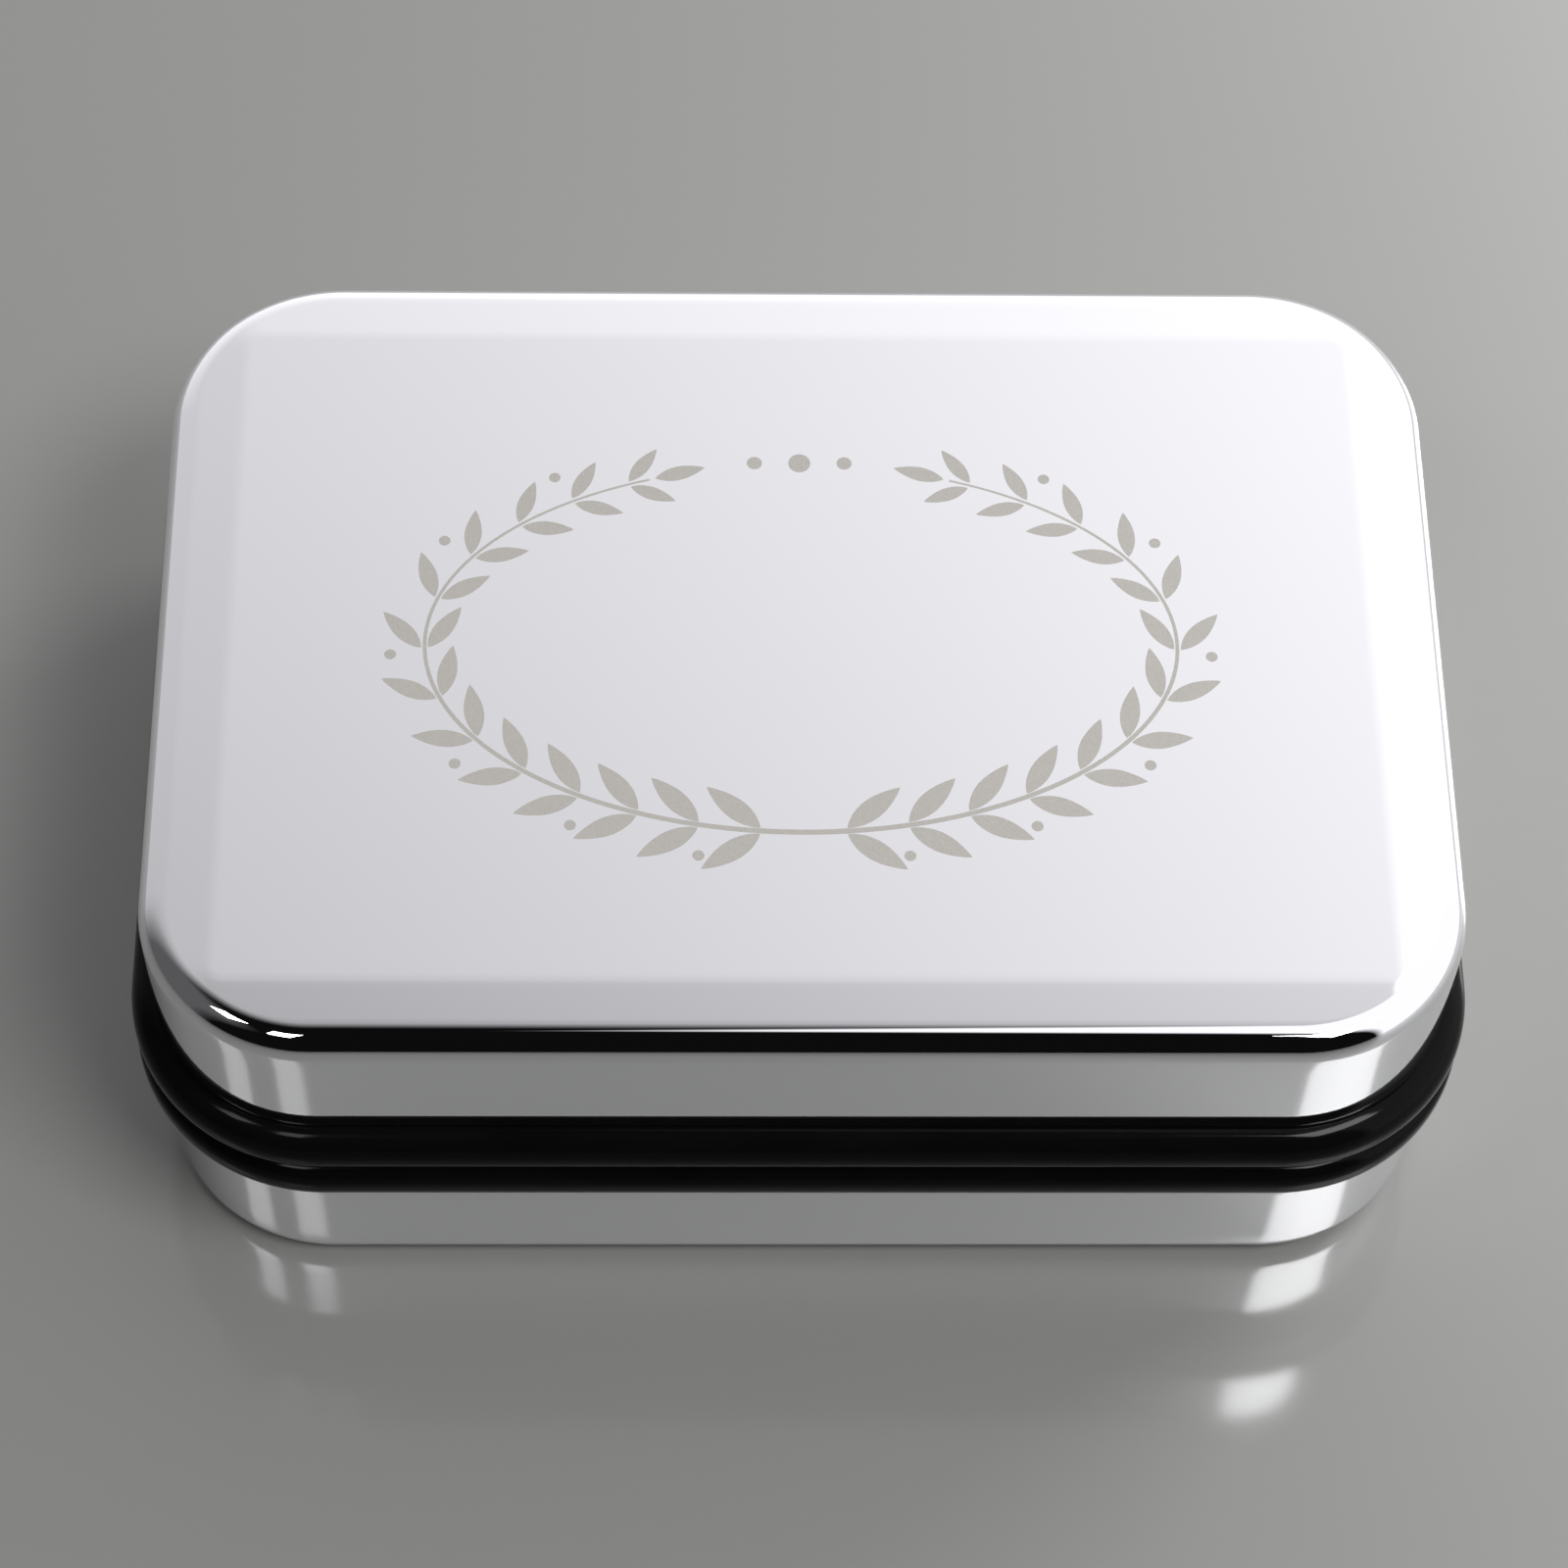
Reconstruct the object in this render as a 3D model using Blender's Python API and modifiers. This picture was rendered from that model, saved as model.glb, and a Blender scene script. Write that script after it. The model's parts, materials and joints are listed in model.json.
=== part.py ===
"""Hinged jewellery box of two pressed metal shells on black moulded rims, with a sprung rear hinge and lined pads.

Metres, +Z up, the front towards -Y. The origin is the centre of the flat panel that the box stands on.
Each half is drawn in the lid's own frame: height 0 is the parting plane and +height runs to the half's panel.
The base half is drawn the same way and turned over about Y.
"""

import math

import bmesh
import bpy
from mathutils import Matrix, Vector

# Pressed shells
SHELL_WIDTH = 0.0900
SHELL_DEPTH = 0.0635
CORNER_RADIUS = 0.0120
WALL_HEIGHT = 0.01175
SHELL_THICKNESS = 0.0007
EDGE_RADIUS = 0.0020
PANEL_MARGIN = 0.0052
PANEL_SLOPE = math.radians(3.0)
CORNER_SEGMENTS = 8
EDGE_SEGMENTS = 4
BEVEL_ANGLE = math.radians(40.0)
SMOOTH_ANGLE = math.radians(35.0)

# Moulded rims
BEAD_HEIGHT = 0.0040
BEAD_PROUD = 0.0016
BASE_BEAD_ROOT = math.radians(18.5)
BASE_BEAD_RADIUS = 0.0014
LID_BEAD_ROOT = math.radians(13.0)
LID_BEAD_RADIUS = 0.0017
BEAD_ARC_SHARE = 0.97
BEAD_SEGMENTS = 5
PARTING_GAP = 0.0003
SKIRT_THICKNESS = 0.0012
SKIRT_HEIGHT = 0.0046
LIP_THICKNESS = 0.0009
LIP_HEIGHT = 0.0011
MOULDED_RADIUS = 0.0003
MOULDED_SEGMENTS = 2

# Clearances
SEAT_GAP = 0.0003
CLOSE_GAP = 0.00015
OVERRUN = 0.0020
MERGE_DISTANCE = 0.000002

# Hinge
HINGE_WIDTH = 0.0240
HINGE_OFFSET = 0.0009
PIN_RADIUS = 0.0008
PIN_CLEARANCE = 0.0001
PIN_END = 0.0003
PIN_END_SEGMENTS = 2
LEAF_THICKNESS = 0.0006
BEND_RADIUS = 0.0006
BEND_SEGMENTS = 4
SQUARE_BARREL_WIDTH = 0.0120
SQUARE_BARREL_RADIUS = 0.0006
BARREL_OPENING_ANGLE = math.radians(70.0)
POCKET_WALL = 0.0001
SPRING_THICKNESS = 0.0004
SPRING_WIDTH = 0.0090
SPRING_TIP = 0.0010
SPRING_TIP_DROP = 0.0003

# Screws and rivet of the hinge
SCREW_MARGIN = 0.0033
SCREW_RADIUS = 0.0005
SCREW_BITE = 0.0008
SCREW_HEAD_RADIUS = 0.00095
SCREW_HEAD_HEIGHT = 0.0005
RIVET_RADIUS = 0.00035
RIVET_HEAD_RADIUS = 0.0007
RIVET_HEAD_HEIGHT = 0.0004
FASTENER_FILLET = 0.0002
ROUND_STEPS = 16

# Lining strips
LINING_THICKNESS = 0.0005
LINING_SETBACK = 0.0006

# Floor, riser and necklace pad in the base
CARD_THICKNESS = 0.0008
RISER_HEIGHT = 0.0060
RISER_THICKNESS = 0.0010
BOARD_THICKNESS = 0.0010
FOAM_HEIGHT = 0.0015
COVER_THICKNESS = 0.0005
PAD_EDGE_RADIUS = 0.0014
PAD_CROWN = 0.0006
SLIT_LENGTH = 0.0110
SLIT_WIDTH = 0.0012
SLIT_INSET = 0.0105
NOTCH_RADIUS = 0.0090
NOTCH_OVERHANG = 0.0020

CROWN_RING_SHARES = (0.88, 0.72, 0.54, 0.34, 0.14)

# Lid pad
LID_FOAM_HEIGHT = 0.0026
LID_PAD_CROWN = 0.0012
LID_PAD_EDGE_RADIUS = 0.0018

# Levels and insets that follow
RIM_LEVEL = PARTING_GAP / 2 + BEAD_HEIGHT
PANEL_LEVEL = RIM_LEVEL + WALL_HEIGHT
SKIRT_INSET = SHELL_THICKNESS + SEAT_GAP
RIM_INNER_INSET = SKIRT_INSET + SKIRT_THICKNESS
SKIRT_LEVEL = RIM_LEVEL + SKIRT_HEIGHT
LIP_INSET = RIM_INNER_INSET - LIP_THICKNESS
LINING_INSET = RIM_INNER_INSET + SEAT_GAP
PAD_INSET = LINING_INSET + LINING_THICKNESS + SEAT_GAP
HINGE_Y = SHELL_DEPTH / 2 + BEAD_PROUD + HINGE_OFFSET
BARREL_PATH_RADIUS = PIN_RADIUS + PIN_CLEARANCE + LEAF_THICKNESS / 2
BARREL_RADIUS = BARREL_PATH_RADIUS + LEAF_THICKNESS / 2
SQUARE_REACH = (
    math.sqrt(2) * (BARREL_PATH_RADIUS - SQUARE_BARREL_RADIUS) + SQUARE_BARREL_RADIUS + LEAF_THICKNESS / 2
)
PLATE_INSET = POCKET_WALL + SEAT_GAP + LEAF_THICKNESS / 2
LEAF_FOOT = RIM_LEVEL - CLOSE_GAP
SPRING_LEVEL = SQUARE_REACH + CLOSE_GAP + SPRING_THICKNESS / 2
SPRING_INSET = PLATE_INSET + LEAF_THICKNESS / 2 + CLOSE_GAP + SPRING_THICKNESS / 2
WINDOW_LEVEL = SPRING_LEVEL + SPRING_THICKNESS / 2 + SEAT_GAP
SCREW_SPACING = HINGE_WIDTH - 2 * SCREW_MARGIN
SCREW_LEVEL = (BARREL_RADIUS + LEAF_FOOT) / 2
RIVET_LEVEL = (WINDOW_LEVEL + LEAF_FOOT) / 2
FLOOR_CARD_LEVEL = SHELL_THICKNESS + SEAT_GAP
RISER_LEVEL = FLOOR_CARD_LEVEL + CARD_THICKNESS + SEAT_GAP
BOARD_LEVEL = RISER_LEVEL + RISER_HEIGHT + SEAT_GAP
FOAM_LEVEL = BOARD_LEVEL + BOARD_THICKNESS + SEAT_GAP
PAD_LEVEL = FOAM_LEVEL + FOAM_HEIGHT + SEAT_GAP + COVER_THICKNESS
LID_BOARD_LEVEL = SKIRT_LEVEL + SEAT_GAP
LID_PAD_ROOT = LID_BOARD_LEVEL - SEAT_GAP
FILLING_GAP = COVER_THICKNESS + SEAT_GAP

parts = bpy.data.collections.new("necklace_box")
cutters = bpy.data.collections.new("cutters")


def clear_scene():
    for old in list(bpy.data.objects):
        bpy.data.objects.remove(old, do_unlink=True)
    for collection in (parts, cutters):
        bpy.context.scene.collection.children.link(collection)


def material(name, color, roughness, metallic=0.0):
    """A Principled BSDF material."""
    made = bpy.data.materials.new(name)
    made.use_nodes = True
    shader = made.node_tree.nodes["Principled BSDF"]
    shader.inputs["Base Color"].default_value = (*color, 1.0)
    shader.inputs["Roughness"].default_value = roughness
    shader.inputs["Metallic"].default_value = metallic
    return made


def add_object(name, data, collection=parts):
    obj = bpy.data.objects.new(name, data)
    collection.objects.link(obj)
    if collection is cutters:
        obj.hide_render = True
        obj.display_type = "WIRE"
    return obj


def fillet_path(corners, closed, segments):
    """Points along straight runs joined by arcs. Each corner is (x, y, radius), or has its own segments too."""
    points = []
    count = len(corners)
    for i, (x, y, radius, *own) in enumerate(corners):
        here = Vector((x, y))
        if not radius or not closed and i in (0, count - 1):
            points.append(here)
            continue
        back = (Vector(corners[i - 1][:2]) - here).normalized()
        ahead = (Vector(corners[(i + 1) % count][:2]) - here).normalized()
        half = back.angle(ahead) / 2
        middle = here + (back + ahead).normalized() * (radius / math.sin(half))
        start = here + back * (radius / math.tan(half)) - middle
        turn = math.copysign(math.pi - 2 * half, back.x * ahead.y - back.y * ahead.x)
        steps = own[0] if own else segments
        for k in range(steps + 1):
            points.append(middle + Matrix.Rotation(-turn * k / steps, 2) @ start)
    return points


def rounded_outline(inset):
    """The shell's plan outline, moved inwards by inset."""
    x = SHELL_WIDTH / 2 - inset
    y = SHELL_DEPTH / 2 - inset
    radius = CORNER_RADIUS - inset
    corners = [(x, -y, radius), (x, y, radius), (-x, y, radius), (-x, -y, radius)]
    return fillet_path(corners, True, CORNER_SEGMENTS)


def curve_from(name, outlines, closed=True, collection=cutters):
    """A 2D poly curve with one spline for each outline."""
    curve = bpy.data.curves.new(name, "CURVE")
    curve.dimensions = "2D"
    for outline in outlines:
        spline = curve.splines.new("POLY")
        spline.points.add(len(outline) - 1)
        for point, place in zip(spline.points, outline):
            point.co = (place.x, place.y, 0.0, 1.0)
        spline.use_cyclic_u = closed
    return add_object(name, curve, collection)


def as_mesh(curve_object, matrix=None):
    """The curve's evaluated mesh, welded and facing out, as a new mesh datablock. The curve is removed."""
    graph = bpy.context.evaluated_depsgraph_get()
    mesh = bpy.data.meshes.new_from_object(curve_object.evaluated_get(graph))
    name = curve_object.name
    for used in {curve_object, getattr(curve_object.data, "bevel_object", None)} - {None}:
        bpy.data.objects.remove(used, do_unlink=True)
    shape = bmesh.new()
    shape.from_mesh(mesh)
    bmesh.ops.remove_doubles(shape, verts=shape.verts, dist=MERGE_DISTANCE)
    if matrix:
        bmesh.ops.transform(shape, matrix=matrix, verts=shape.verts)
    bmesh.ops.recalc_face_normals(shape, faces=shape.faces)
    shape.to_mesh(mesh)
    shape.free()
    mesh.name = name
    return mesh


def slab(name, outlines, bottom, top):
    """A flat sheet or prism between two heights. A second outline is its hole."""
    flat = curve_from(name + "_outline", outlines)
    flat.data.fill_mode = "BOTH"
    flat.data.extrude = (top - bottom) / 2
    return as_mesh(flat, Matrix.Translation((0, 0, (top + bottom) / 2)))


def swept_ring(name, section):
    """A section of (outward, height) points carried round the shell's outline."""
    path = curve_from(name + "_path", [rounded_outline(0)])
    path.data.dimensions = "3D"
    path.data.twist_mode = "Z_UP"
    path.data.bevel_mode = "OBJECT"
    path.data.bevel_object = curve_from(name + "_section", [section])
    return as_mesh(path)


def box(name, low, high, collection=cutters):
    shape = bmesh.new()
    bmesh.ops.create_cube(shape, size=1.0)
    low, high = Vector(low), Vector(high)
    scale = Matrix.Diagonal((*(high - low), 1.0))
    bmesh.ops.transform(shape, matrix=Matrix.Translation((low + high) / 2) @ scale, verts=shape.verts)
    mesh = bpy.data.meshes.new(name)
    shape.to_mesh(mesh)
    shape.free()
    return add_object(name, mesh, collection)


def rod(name, radius, start, end, collection=cutters, steps=ROUND_STEPS):
    """A cylinder between two points."""
    start, end = Vector(start), Vector(end)
    along = end - start
    turn = along.to_track_quat("Z", "Y").to_matrix().to_4x4()
    shape = bmesh.new()
    bmesh.ops.create_cone(
        shape, cap_ends=True, segments=steps, radius1=radius, radius2=radius, depth=along.length
    )
    bmesh.ops.transform(shape, matrix=Matrix.Translation((start + end) / 2) @ turn, verts=shape.verts)
    mesh = bpy.data.meshes.new(name)
    shape.to_mesh(mesh)
    shape.free()
    return add_object(name, mesh, collection)


def boolean(obj, operation, *others):
    for other in others:
        modifier = obj.modifiers.new(operation.lower(), "BOOLEAN")
        modifier.operation = operation
        modifier.object = other


def round_edges(obj, width, segments):
    modifier = obj.modifiers.new("round", "BEVEL")
    modifier.width = width
    modifier.segments = segments
    modifier.limit_method = "ANGLE"
    modifier.angle_limit = BEVEL_ANGLE


def finish(obj, finish_material):
    """Gives a part its material and smooth shading."""
    obj.data.materials.clear()
    obj.data.materials.append(finish_material)
    if obj.type == "MESH":
        obj.data.shade_smooth()
        obj.data.set_sharp_from_angle(angle=SMOOTH_ANGLE)
    return obj


def evaluated_mesh(obj):
    """The object's mesh with its modifiers applied. The object is removed, and its cutters stay."""
    graph = bpy.context.evaluated_depsgraph_get()
    mesh = bpy.data.meshes.new_from_object(obj.evaluated_get(graph))
    bpy.data.objects.remove(obj, do_unlink=True)
    return mesh


def hipped_block(name, inset):
    """The space inside the shell's outer skin, moved inwards by inset, and left long below the rim.

    A rounded prism is cut by a very flat hipped pyramid, whose ridges are the mitres of the panel's border.
    """
    low = RIM_LEVEL - OVERRUN - EDGE_RADIUS
    top = PANEL_LEVEL - inset
    block = add_object(name, slab(name, [rounded_outline(inset)], low, top), cutters)
    hip = box(name + "_hip", (-1, -1, low - top), (1, 1, 0))
    run = (top - low) / math.tan(PANEL_SLOPE)
    for vertex in hip.data.vertices:
        spread = run * (vertex.co.z < 0)
        vertex.co.x *= SHELL_WIDTH / 2 - PANEL_MARGIN + spread
        vertex.co.y *= SHELL_DEPTH / 2 - PANEL_MARGIN + spread
        vertex.co.z += top
    boolean(block, "INTERSECT", hip)
    weld = block.modifiers.new("weld", "WELD")
    weld.merge_threshold = MERGE_DISTANCE
    round_edges(block, EDGE_RADIUS - inset, EDGE_SEGMENTS)
    return block


def pressed_shell():
    """Mesh of one shell: the outer form less the same form one wall smaller, cut off at the rim."""
    outer = hipped_block("shell_outer", 0)
    inner = hipped_block("shell_inner", SHELL_THICKNESS)
    reach = SHELL_WIDTH + SHELL_DEPTH
    rim = RIM_LEVEL + SEAT_GAP
    trim = box("shell_trim", (-reach, -reach, rim - reach), (reach, reach, rim))
    boolean(outer, "DIFFERENCE", inner, trim)
    return evaluated_mesh(outer)


def rim_section(joint, root, parting_radius):
    """Section of a moulded rim. The joint points lead from its inner face to its parting face.

    The bead is a round one. Its far arc leaves the shell's wall at the root angle under the level and turns
    upright, and is nearly as large as that allows.
    """
    far_radius = BEAD_ARC_SHARE * BEAD_PROUD / math.cos(root) * math.tan(math.pi / 4 + root / 2)
    corners = [
        *joint,
        (BEAD_PROUD, PARTING_GAP / 2, parting_radius, BEAD_SEGMENTS),
        (BEAD_PROUD, RIM_LEVEL - BEAD_PROUD * math.tan(root), far_radius, BEAD_SEGMENTS),
        (0, RIM_LEVEL, 0),
        (-SKIRT_INSET, RIM_LEVEL, 0),
        (-SKIRT_INSET, SKIRT_LEVEL, MOULDED_RADIUS),
        (-RIM_INNER_INSET, SKIRT_LEVEL, MOULDED_RADIUS),
    ]
    return fillet_path(corners, True, MOULDED_SEGMENTS)


def hinge_cutters(name, strap_depth, spring_depth):
    """Cutters for a half's rear wall: the barrel's groove, the straps' slot and the plate's pocket."""
    half = HINGE_WIDTH / 2 + SEAT_GAP
    rear = SHELL_DEPTH / 2
    inside = rear - RIM_INNER_INSET - OVERRUN
    outside = HINGE_Y + BARREL_RADIUS + OVERRUN
    below = -LIP_HEIGHT - OVERRUN
    pocket = rear - POCKET_WALL
    middle = SPRING_WIDTH / 2 + SEAT_GAP
    groove = rod(
        name + "_groove", SQUARE_REACH + SEAT_GAP, (-half, HINGE_Y, 0), (half, HINGE_Y, 0), steps=2 * ROUND_STEPS
    )
    slot = box(name + "_slot", (-half, inside, below), (half, outside, strap_depth))
    plate = box(name + "_pocket", (-half, inside, below), (half, pocket, LEAF_FOOT + SEAT_GAP))
    made = [groove, slot, plate]
    if spring_depth:
        made.append(box(name + "_spring_slot", (-middle, inside, below), (middle, outside, spring_depth)))
    for side in (-1, 1):
        x = side * SCREW_SPACING / 2
        start = (x, pocket - OVERRUN, SCREW_LEVEL)
        end = (x, rear - PLATE_INSET + LEAF_THICKNESS / 2 + SCREW_BITE + SEAT_GAP, SCREW_LEVEL)
        made.append(rod(f"{name}_pilot_{side}", SCREW_RADIUS + CLOSE_GAP, start, end))
    return made


def ribbon(name, path, width, thickness):
    """Strip metal: a path in the (Y, Z) plane, taken across X, with its thickness on both sides."""
    strip = curve_from(name + "_path", [path], closed=False)
    strip.data.extrude = width / 2
    across = Matrix(((0, 0, 1, 0), (1, 0, 0, 0), (0, 1, 0, 0), (0, 0, 0, 1)))
    obj = add_object(name, as_mesh(strip, across))
    wall = obj.modifiers.new("wall", "SOLIDIFY")
    wall.thickness = thickness
    wall.offset = 0
    wall.use_even_offset = True
    return obj


def leaf_path_tail():
    """The strap's run from the barrel, its bend and the plate, in (Y, Z) from the hinge axis."""
    plate = -(BEAD_PROUD + HINGE_OFFSET + PLATE_INSET)
    bend = BEND_RADIUS + LEAF_THICKNESS / 2
    return [(plate, BARREL_PATH_RADIUS, bend), (plate, LEAF_FOOT, 0)]


def round_barrel_path():
    """The barrel's curl from its free end over to the strap, then the strap and plate."""
    sweep = 2 * math.pi - BARREL_OPENING_ANGLE
    steps = 2 * ROUND_STEPS
    curl = []
    for k in range(steps + 1):
        angle = math.pi / 2 - sweep * (1 - k / steps)
        curl.append(Vector((math.cos(angle), math.sin(angle))) * BARREL_PATH_RADIUS)
    tail = fillet_path([(*curl[-1], 0), *leaf_path_tail()], False, BEND_SEGMENTS)
    return curl + tail[1:]


def square_barrel_path():
    """The squared barrel from its free end round three corners to the strap, then the strap and plate."""
    reach = BARREL_PATH_RADIUS
    radius = SQUARE_BARREL_RADIUS
    corners = [(-reach, 0, 0), (-reach, -reach, radius), (reach, -reach, radius), (reach, reach, radius)]
    return fillet_path(corners + leaf_path_tail(), False, BEND_SEGMENTS)


def turned(name, profile, start, direction, smooth_material):
    """A turned piece: (radius, height) points from its far end's centre round to its foot, about an axis."""
    shape = bmesh.new()
    points = [shape.verts.new((radius, 0, height)) for radius, height in profile]
    for first, second in zip(points, points[1:]):
        shape.edges.new((first, second))
    turn = Vector(direction).to_track_quat("Z", "X").to_matrix().to_4x4()
    mesh = bpy.data.meshes.new(name)
    shape.to_mesh(mesh)
    shape.free()
    obj = add_object(name, mesh)
    screw = obj.modifiers.new("turn", "SCREW")
    screw.axis = "Z"
    screw.steps = screw.render_steps = ROUND_STEPS
    screw.use_merge_vertices = True
    screw.merge_threshold = MERGE_DISTANCE
    obj.matrix_world = Matrix.Translation(start) @ turn
    finish(obj, smooth_material)
    return obj


def headed_profile(head_radius, head_height, shank_radius, length, foot_radius=0, foot_height=0):
    """Half outline of a screw or rivet with its head on top, height 0 under the head."""
    foot = [(foot_radius, -length), (foot_radius, -length - foot_height)] if foot_radius else []
    return [
        (0, head_height),
        (head_radius - FASTENER_FILLET, head_height),
        (head_radius, head_height - FASTENER_FILLET),
        (head_radius, 0),
        (shank_radius, 0),
        (shank_radius, -length),
        *foot,
        (0, -length - foot_height),
    ]


def pad_block(name, inset, bottom, top, crown, edge_radius):
    """A pad's space: a slab with its top edge rounded down and its top swollen by the crown.

    Rings of the outline climb the side, turn over the edge's quarter circle and shrink towards the middle.
    At x, y the top is raised by crown * (1 - (x / half width)^2) * (1 - (y / half depth)^2).
    """
    rings = [(inset, bottom, 1.0, False)]
    for k in range(EDGE_SEGMENTS + 1):
        angle = math.pi / 2 * k / EDGE_SEGMENTS
        inward = edge_radius * (1 - math.cos(angle))
        rings.append((inset + inward, top - edge_radius * (1 - math.sin(angle)), 1.0, k > 0))
    rings += [(inset + edge_radius, top, share, True) for share in CROWN_RING_SHARES]
    half_x = SHELL_WIDTH / 2 - inset
    half_y = SHELL_DEPTH / 2 - inset
    shape = bmesh.new()
    loops = []
    for ring_inset, height, share, crowned in rings:
        loop = []
        for x, y in rounded_outline(ring_inset):
            x, y = x * share, y * share
            swell = crown * (1 - (x / half_x) ** 2) * (1 - (y / half_y) ** 2) * crowned
            loop.append(shape.verts.new((x, y, height + swell)))
        loops.append(loop)
    for lower, upper in zip(loops, loops[1:]):
        for i, corner in enumerate(lower):
            shape.faces.new((lower[i - 1], corner, upper[i], upper[i - 1]))
    shape.faces.new(reversed(loops[0]))
    middle = shape.faces.new(loops[-1])
    bmesh.ops.poke(shape, faces=[middle])
    bmesh.ops.recalc_face_normals(shape, faces=shape.faces)
    mesh = bpy.data.meshes.new(name)
    shape.to_mesh(mesh)
    shape.free()
    return add_object(name, mesh, cutters)


def pad_openings(name, wall):
    """Cutters for the necklace pad's finger notch and chain slits, each one wall wider all round."""
    half_x = SHELL_WIDTH / 2 - PAD_INSET
    half_y = SHELL_DEPTH / 2 - PAD_INSET
    low = RISER_LEVEL
    high = PAD_LEVEL + PAD_CROWN + OVERRUN
    y = -half_y - NOTCH_OVERHANG
    made = [rod(name + "_notch", NOTCH_RADIUS + wall, (0, y, low), (0, y, high), steps=2 * ROUND_STEPS)]
    for side in (-1, 1):
        reach_x = SLIT_LENGTH / 2 + wall
        reach_y = SLIT_WIDTH / 2 + wall
        slit = box(f"{name}_slit_{side}", (-reach_x, -reach_y, low), (reach_x, reach_y, high))
        place = Matrix.Translation((side * (half_x - SLIT_INSET), half_y - SLIT_INSET, 0))
        slit.matrix_world = place @ Matrix.Rotation(-side * math.pi / 4, 4, "Z")
        made.append(slit)
    return made


def place_half(name, mesh, finish_material, in_lid, axis):
    """Puts a piece drawn in a half's frame where that half is. Lid pieces hang on the hinge's empty."""
    obj = add_object(name, mesh)
    if in_lid:
        obj.parent = axis
        obj.location = (0, -HINGE_Y, 0)
    else:
        obj.location = (0, 0, PANEL_LEVEL)
        obj.rotation_euler = (0, math.pi, 0)
    return finish(obj, finish_material)


def moulded_rim(name, section, spring_depth):
    """Mesh of one moulded rim with the hinge's seats cut into its rear wall."""
    ring = add_object(name, swept_ring(name, section), cutters)
    boolean(ring, "DIFFERENCE", *hinge_cutters(name, BARREL_RADIUS + SEAT_GAP, spring_depth))
    return evaluated_mesh(ring)


def base_joint():
    """The base rim's lip, which stands past the parting plane."""
    return [
        (-RIM_INNER_INSET, -LIP_HEIGHT, MOULDED_RADIUS),
        (-LIP_INSET, -LIP_HEIGHT, MOULDED_RADIUS),
        (-LIP_INSET, PARTING_GAP / 2, 0),
    ]


def lid_joint():
    """The lid rim's rebate, which takes the lip."""
    rebate = LIP_INSET - SEAT_GAP
    return [
        (-RIM_INNER_INSET, LIP_HEIGHT + SEAT_GAP, MOULDED_RADIUS),
        (-rebate, LIP_HEIGHT + SEAT_GAP, 0),
        (-rebate, PARTING_GAP / 2, MOULDED_RADIUS),
    ]


def hinge_leaf(name, path, cuts):
    """Mesh of a leaf, with its screw holes and the given cuts."""
    strip = ribbon(name, path, HINGE_WIDTH, LEAF_THICKNESS)
    strip.data.transform(Matrix.Translation((0, HINGE_Y, 0)))
    plate = SHELL_DEPTH / 2 - PLATE_INSET
    holes = []
    for side in (-1, 1):
        x = side * SCREW_SPACING / 2
        start = (x, plate - OVERRUN, SCREW_LEVEL)
        end = (x, plate + LEAF_THICKNESS, SCREW_LEVEL)
        holes.append(rod(f"{name}_hole_{side}", SCREW_RADIUS + CLOSE_GAP, start, end))
    boolean(strip, "DIFFERENCE", *holes, *cuts)
    return evaluated_mesh(strip)


def base_leaf_mesh():
    """The base leaf: two round barrels with a window between them for the squared barrel and the spring."""
    half = SQUARE_BARREL_WIDTH / 2 + SEAT_GAP
    front = HINGE_Y - SQUARE_REACH - SEAT_GAP
    rear = HINGE_Y + BARREL_RADIUS + OVERRUN
    low = -BARREL_RADIUS - OVERRUN
    plate = SHELL_DEPTH / 2 - PLATE_INSET
    middle = SPRING_WIDTH / 2 + SEAT_GAP
    barrel_window = box("barrel_window", (-half, front, low), (half, rear, BARREL_RADIUS + OVERRUN))
    spring_window = box("spring_window", (-middle, plate - OVERRUN, low), (middle, rear, WINDOW_LEVEL))
    start = (0, plate - OVERRUN, RIVET_LEVEL)
    end = (0, plate + LEAF_THICKNESS, RIVET_LEVEL)
    rivet_hole = rod("rivet_hole", RIVET_RADIUS + CLOSE_GAP, start, end)
    return hinge_leaf("base_hinge_leaf", round_barrel_path(), [barrel_window, spring_window, rivet_hole])


def lid_leaf_mesh():
    """The lid leaf: one squared barrel in the middle."""
    half = SQUARE_BARREL_WIDTH / 2
    end = HINGE_WIDTH / 2 + OVERRUN
    front = HINGE_Y - BARREL_RADIUS - SEAT_GAP
    rear = HINGE_Y + BARREL_RADIUS + OVERRUN
    low = -BARREL_RADIUS - OVERRUN
    high = BARREL_RADIUS + OVERRUN
    cuts = [
        box("end_window_1", (half, front, low), (end, rear, high)),
        box("end_window_2", (-end, front, low), (-half, rear, high)),
    ]
    return hinge_leaf("lid_hinge_leaf", square_barrel_path(), cuts)


def spring_mesh():
    """The flat spring: its tip under the squared barrel, a bend, and a foot riveted to the base leaf."""
    plate = -(BEAD_PROUD + HINGE_OFFSET + SPRING_INSET)
    bend = BEND_RADIUS
    path = fillet_path(
        [
            (SPRING_TIP, SPRING_LEVEL + SPRING_TIP_DROP, 0),
            (0, SPRING_LEVEL, bend),
            (plate, SPRING_LEVEL, bend),
            (plate, LEAF_FOOT, 0),
        ],
        False,
        BEND_SEGMENTS,
    )
    strip = ribbon("hinge_spring", path, SPRING_WIDTH, SPRING_THICKNESS)
    strip.data.transform(Matrix.Translation((0, HINGE_Y, 0)))
    start = (0, HINGE_Y + plate - OVERRUN, RIVET_LEVEL)
    end = (0, HINGE_Y + plate + OVERRUN, RIVET_LEVEL)
    boolean(strip, "DIFFERENCE", rod("spring_hole", RIVET_RADIUS + CLOSE_GAP, start, end))
    return evaluated_mesh(strip)


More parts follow.
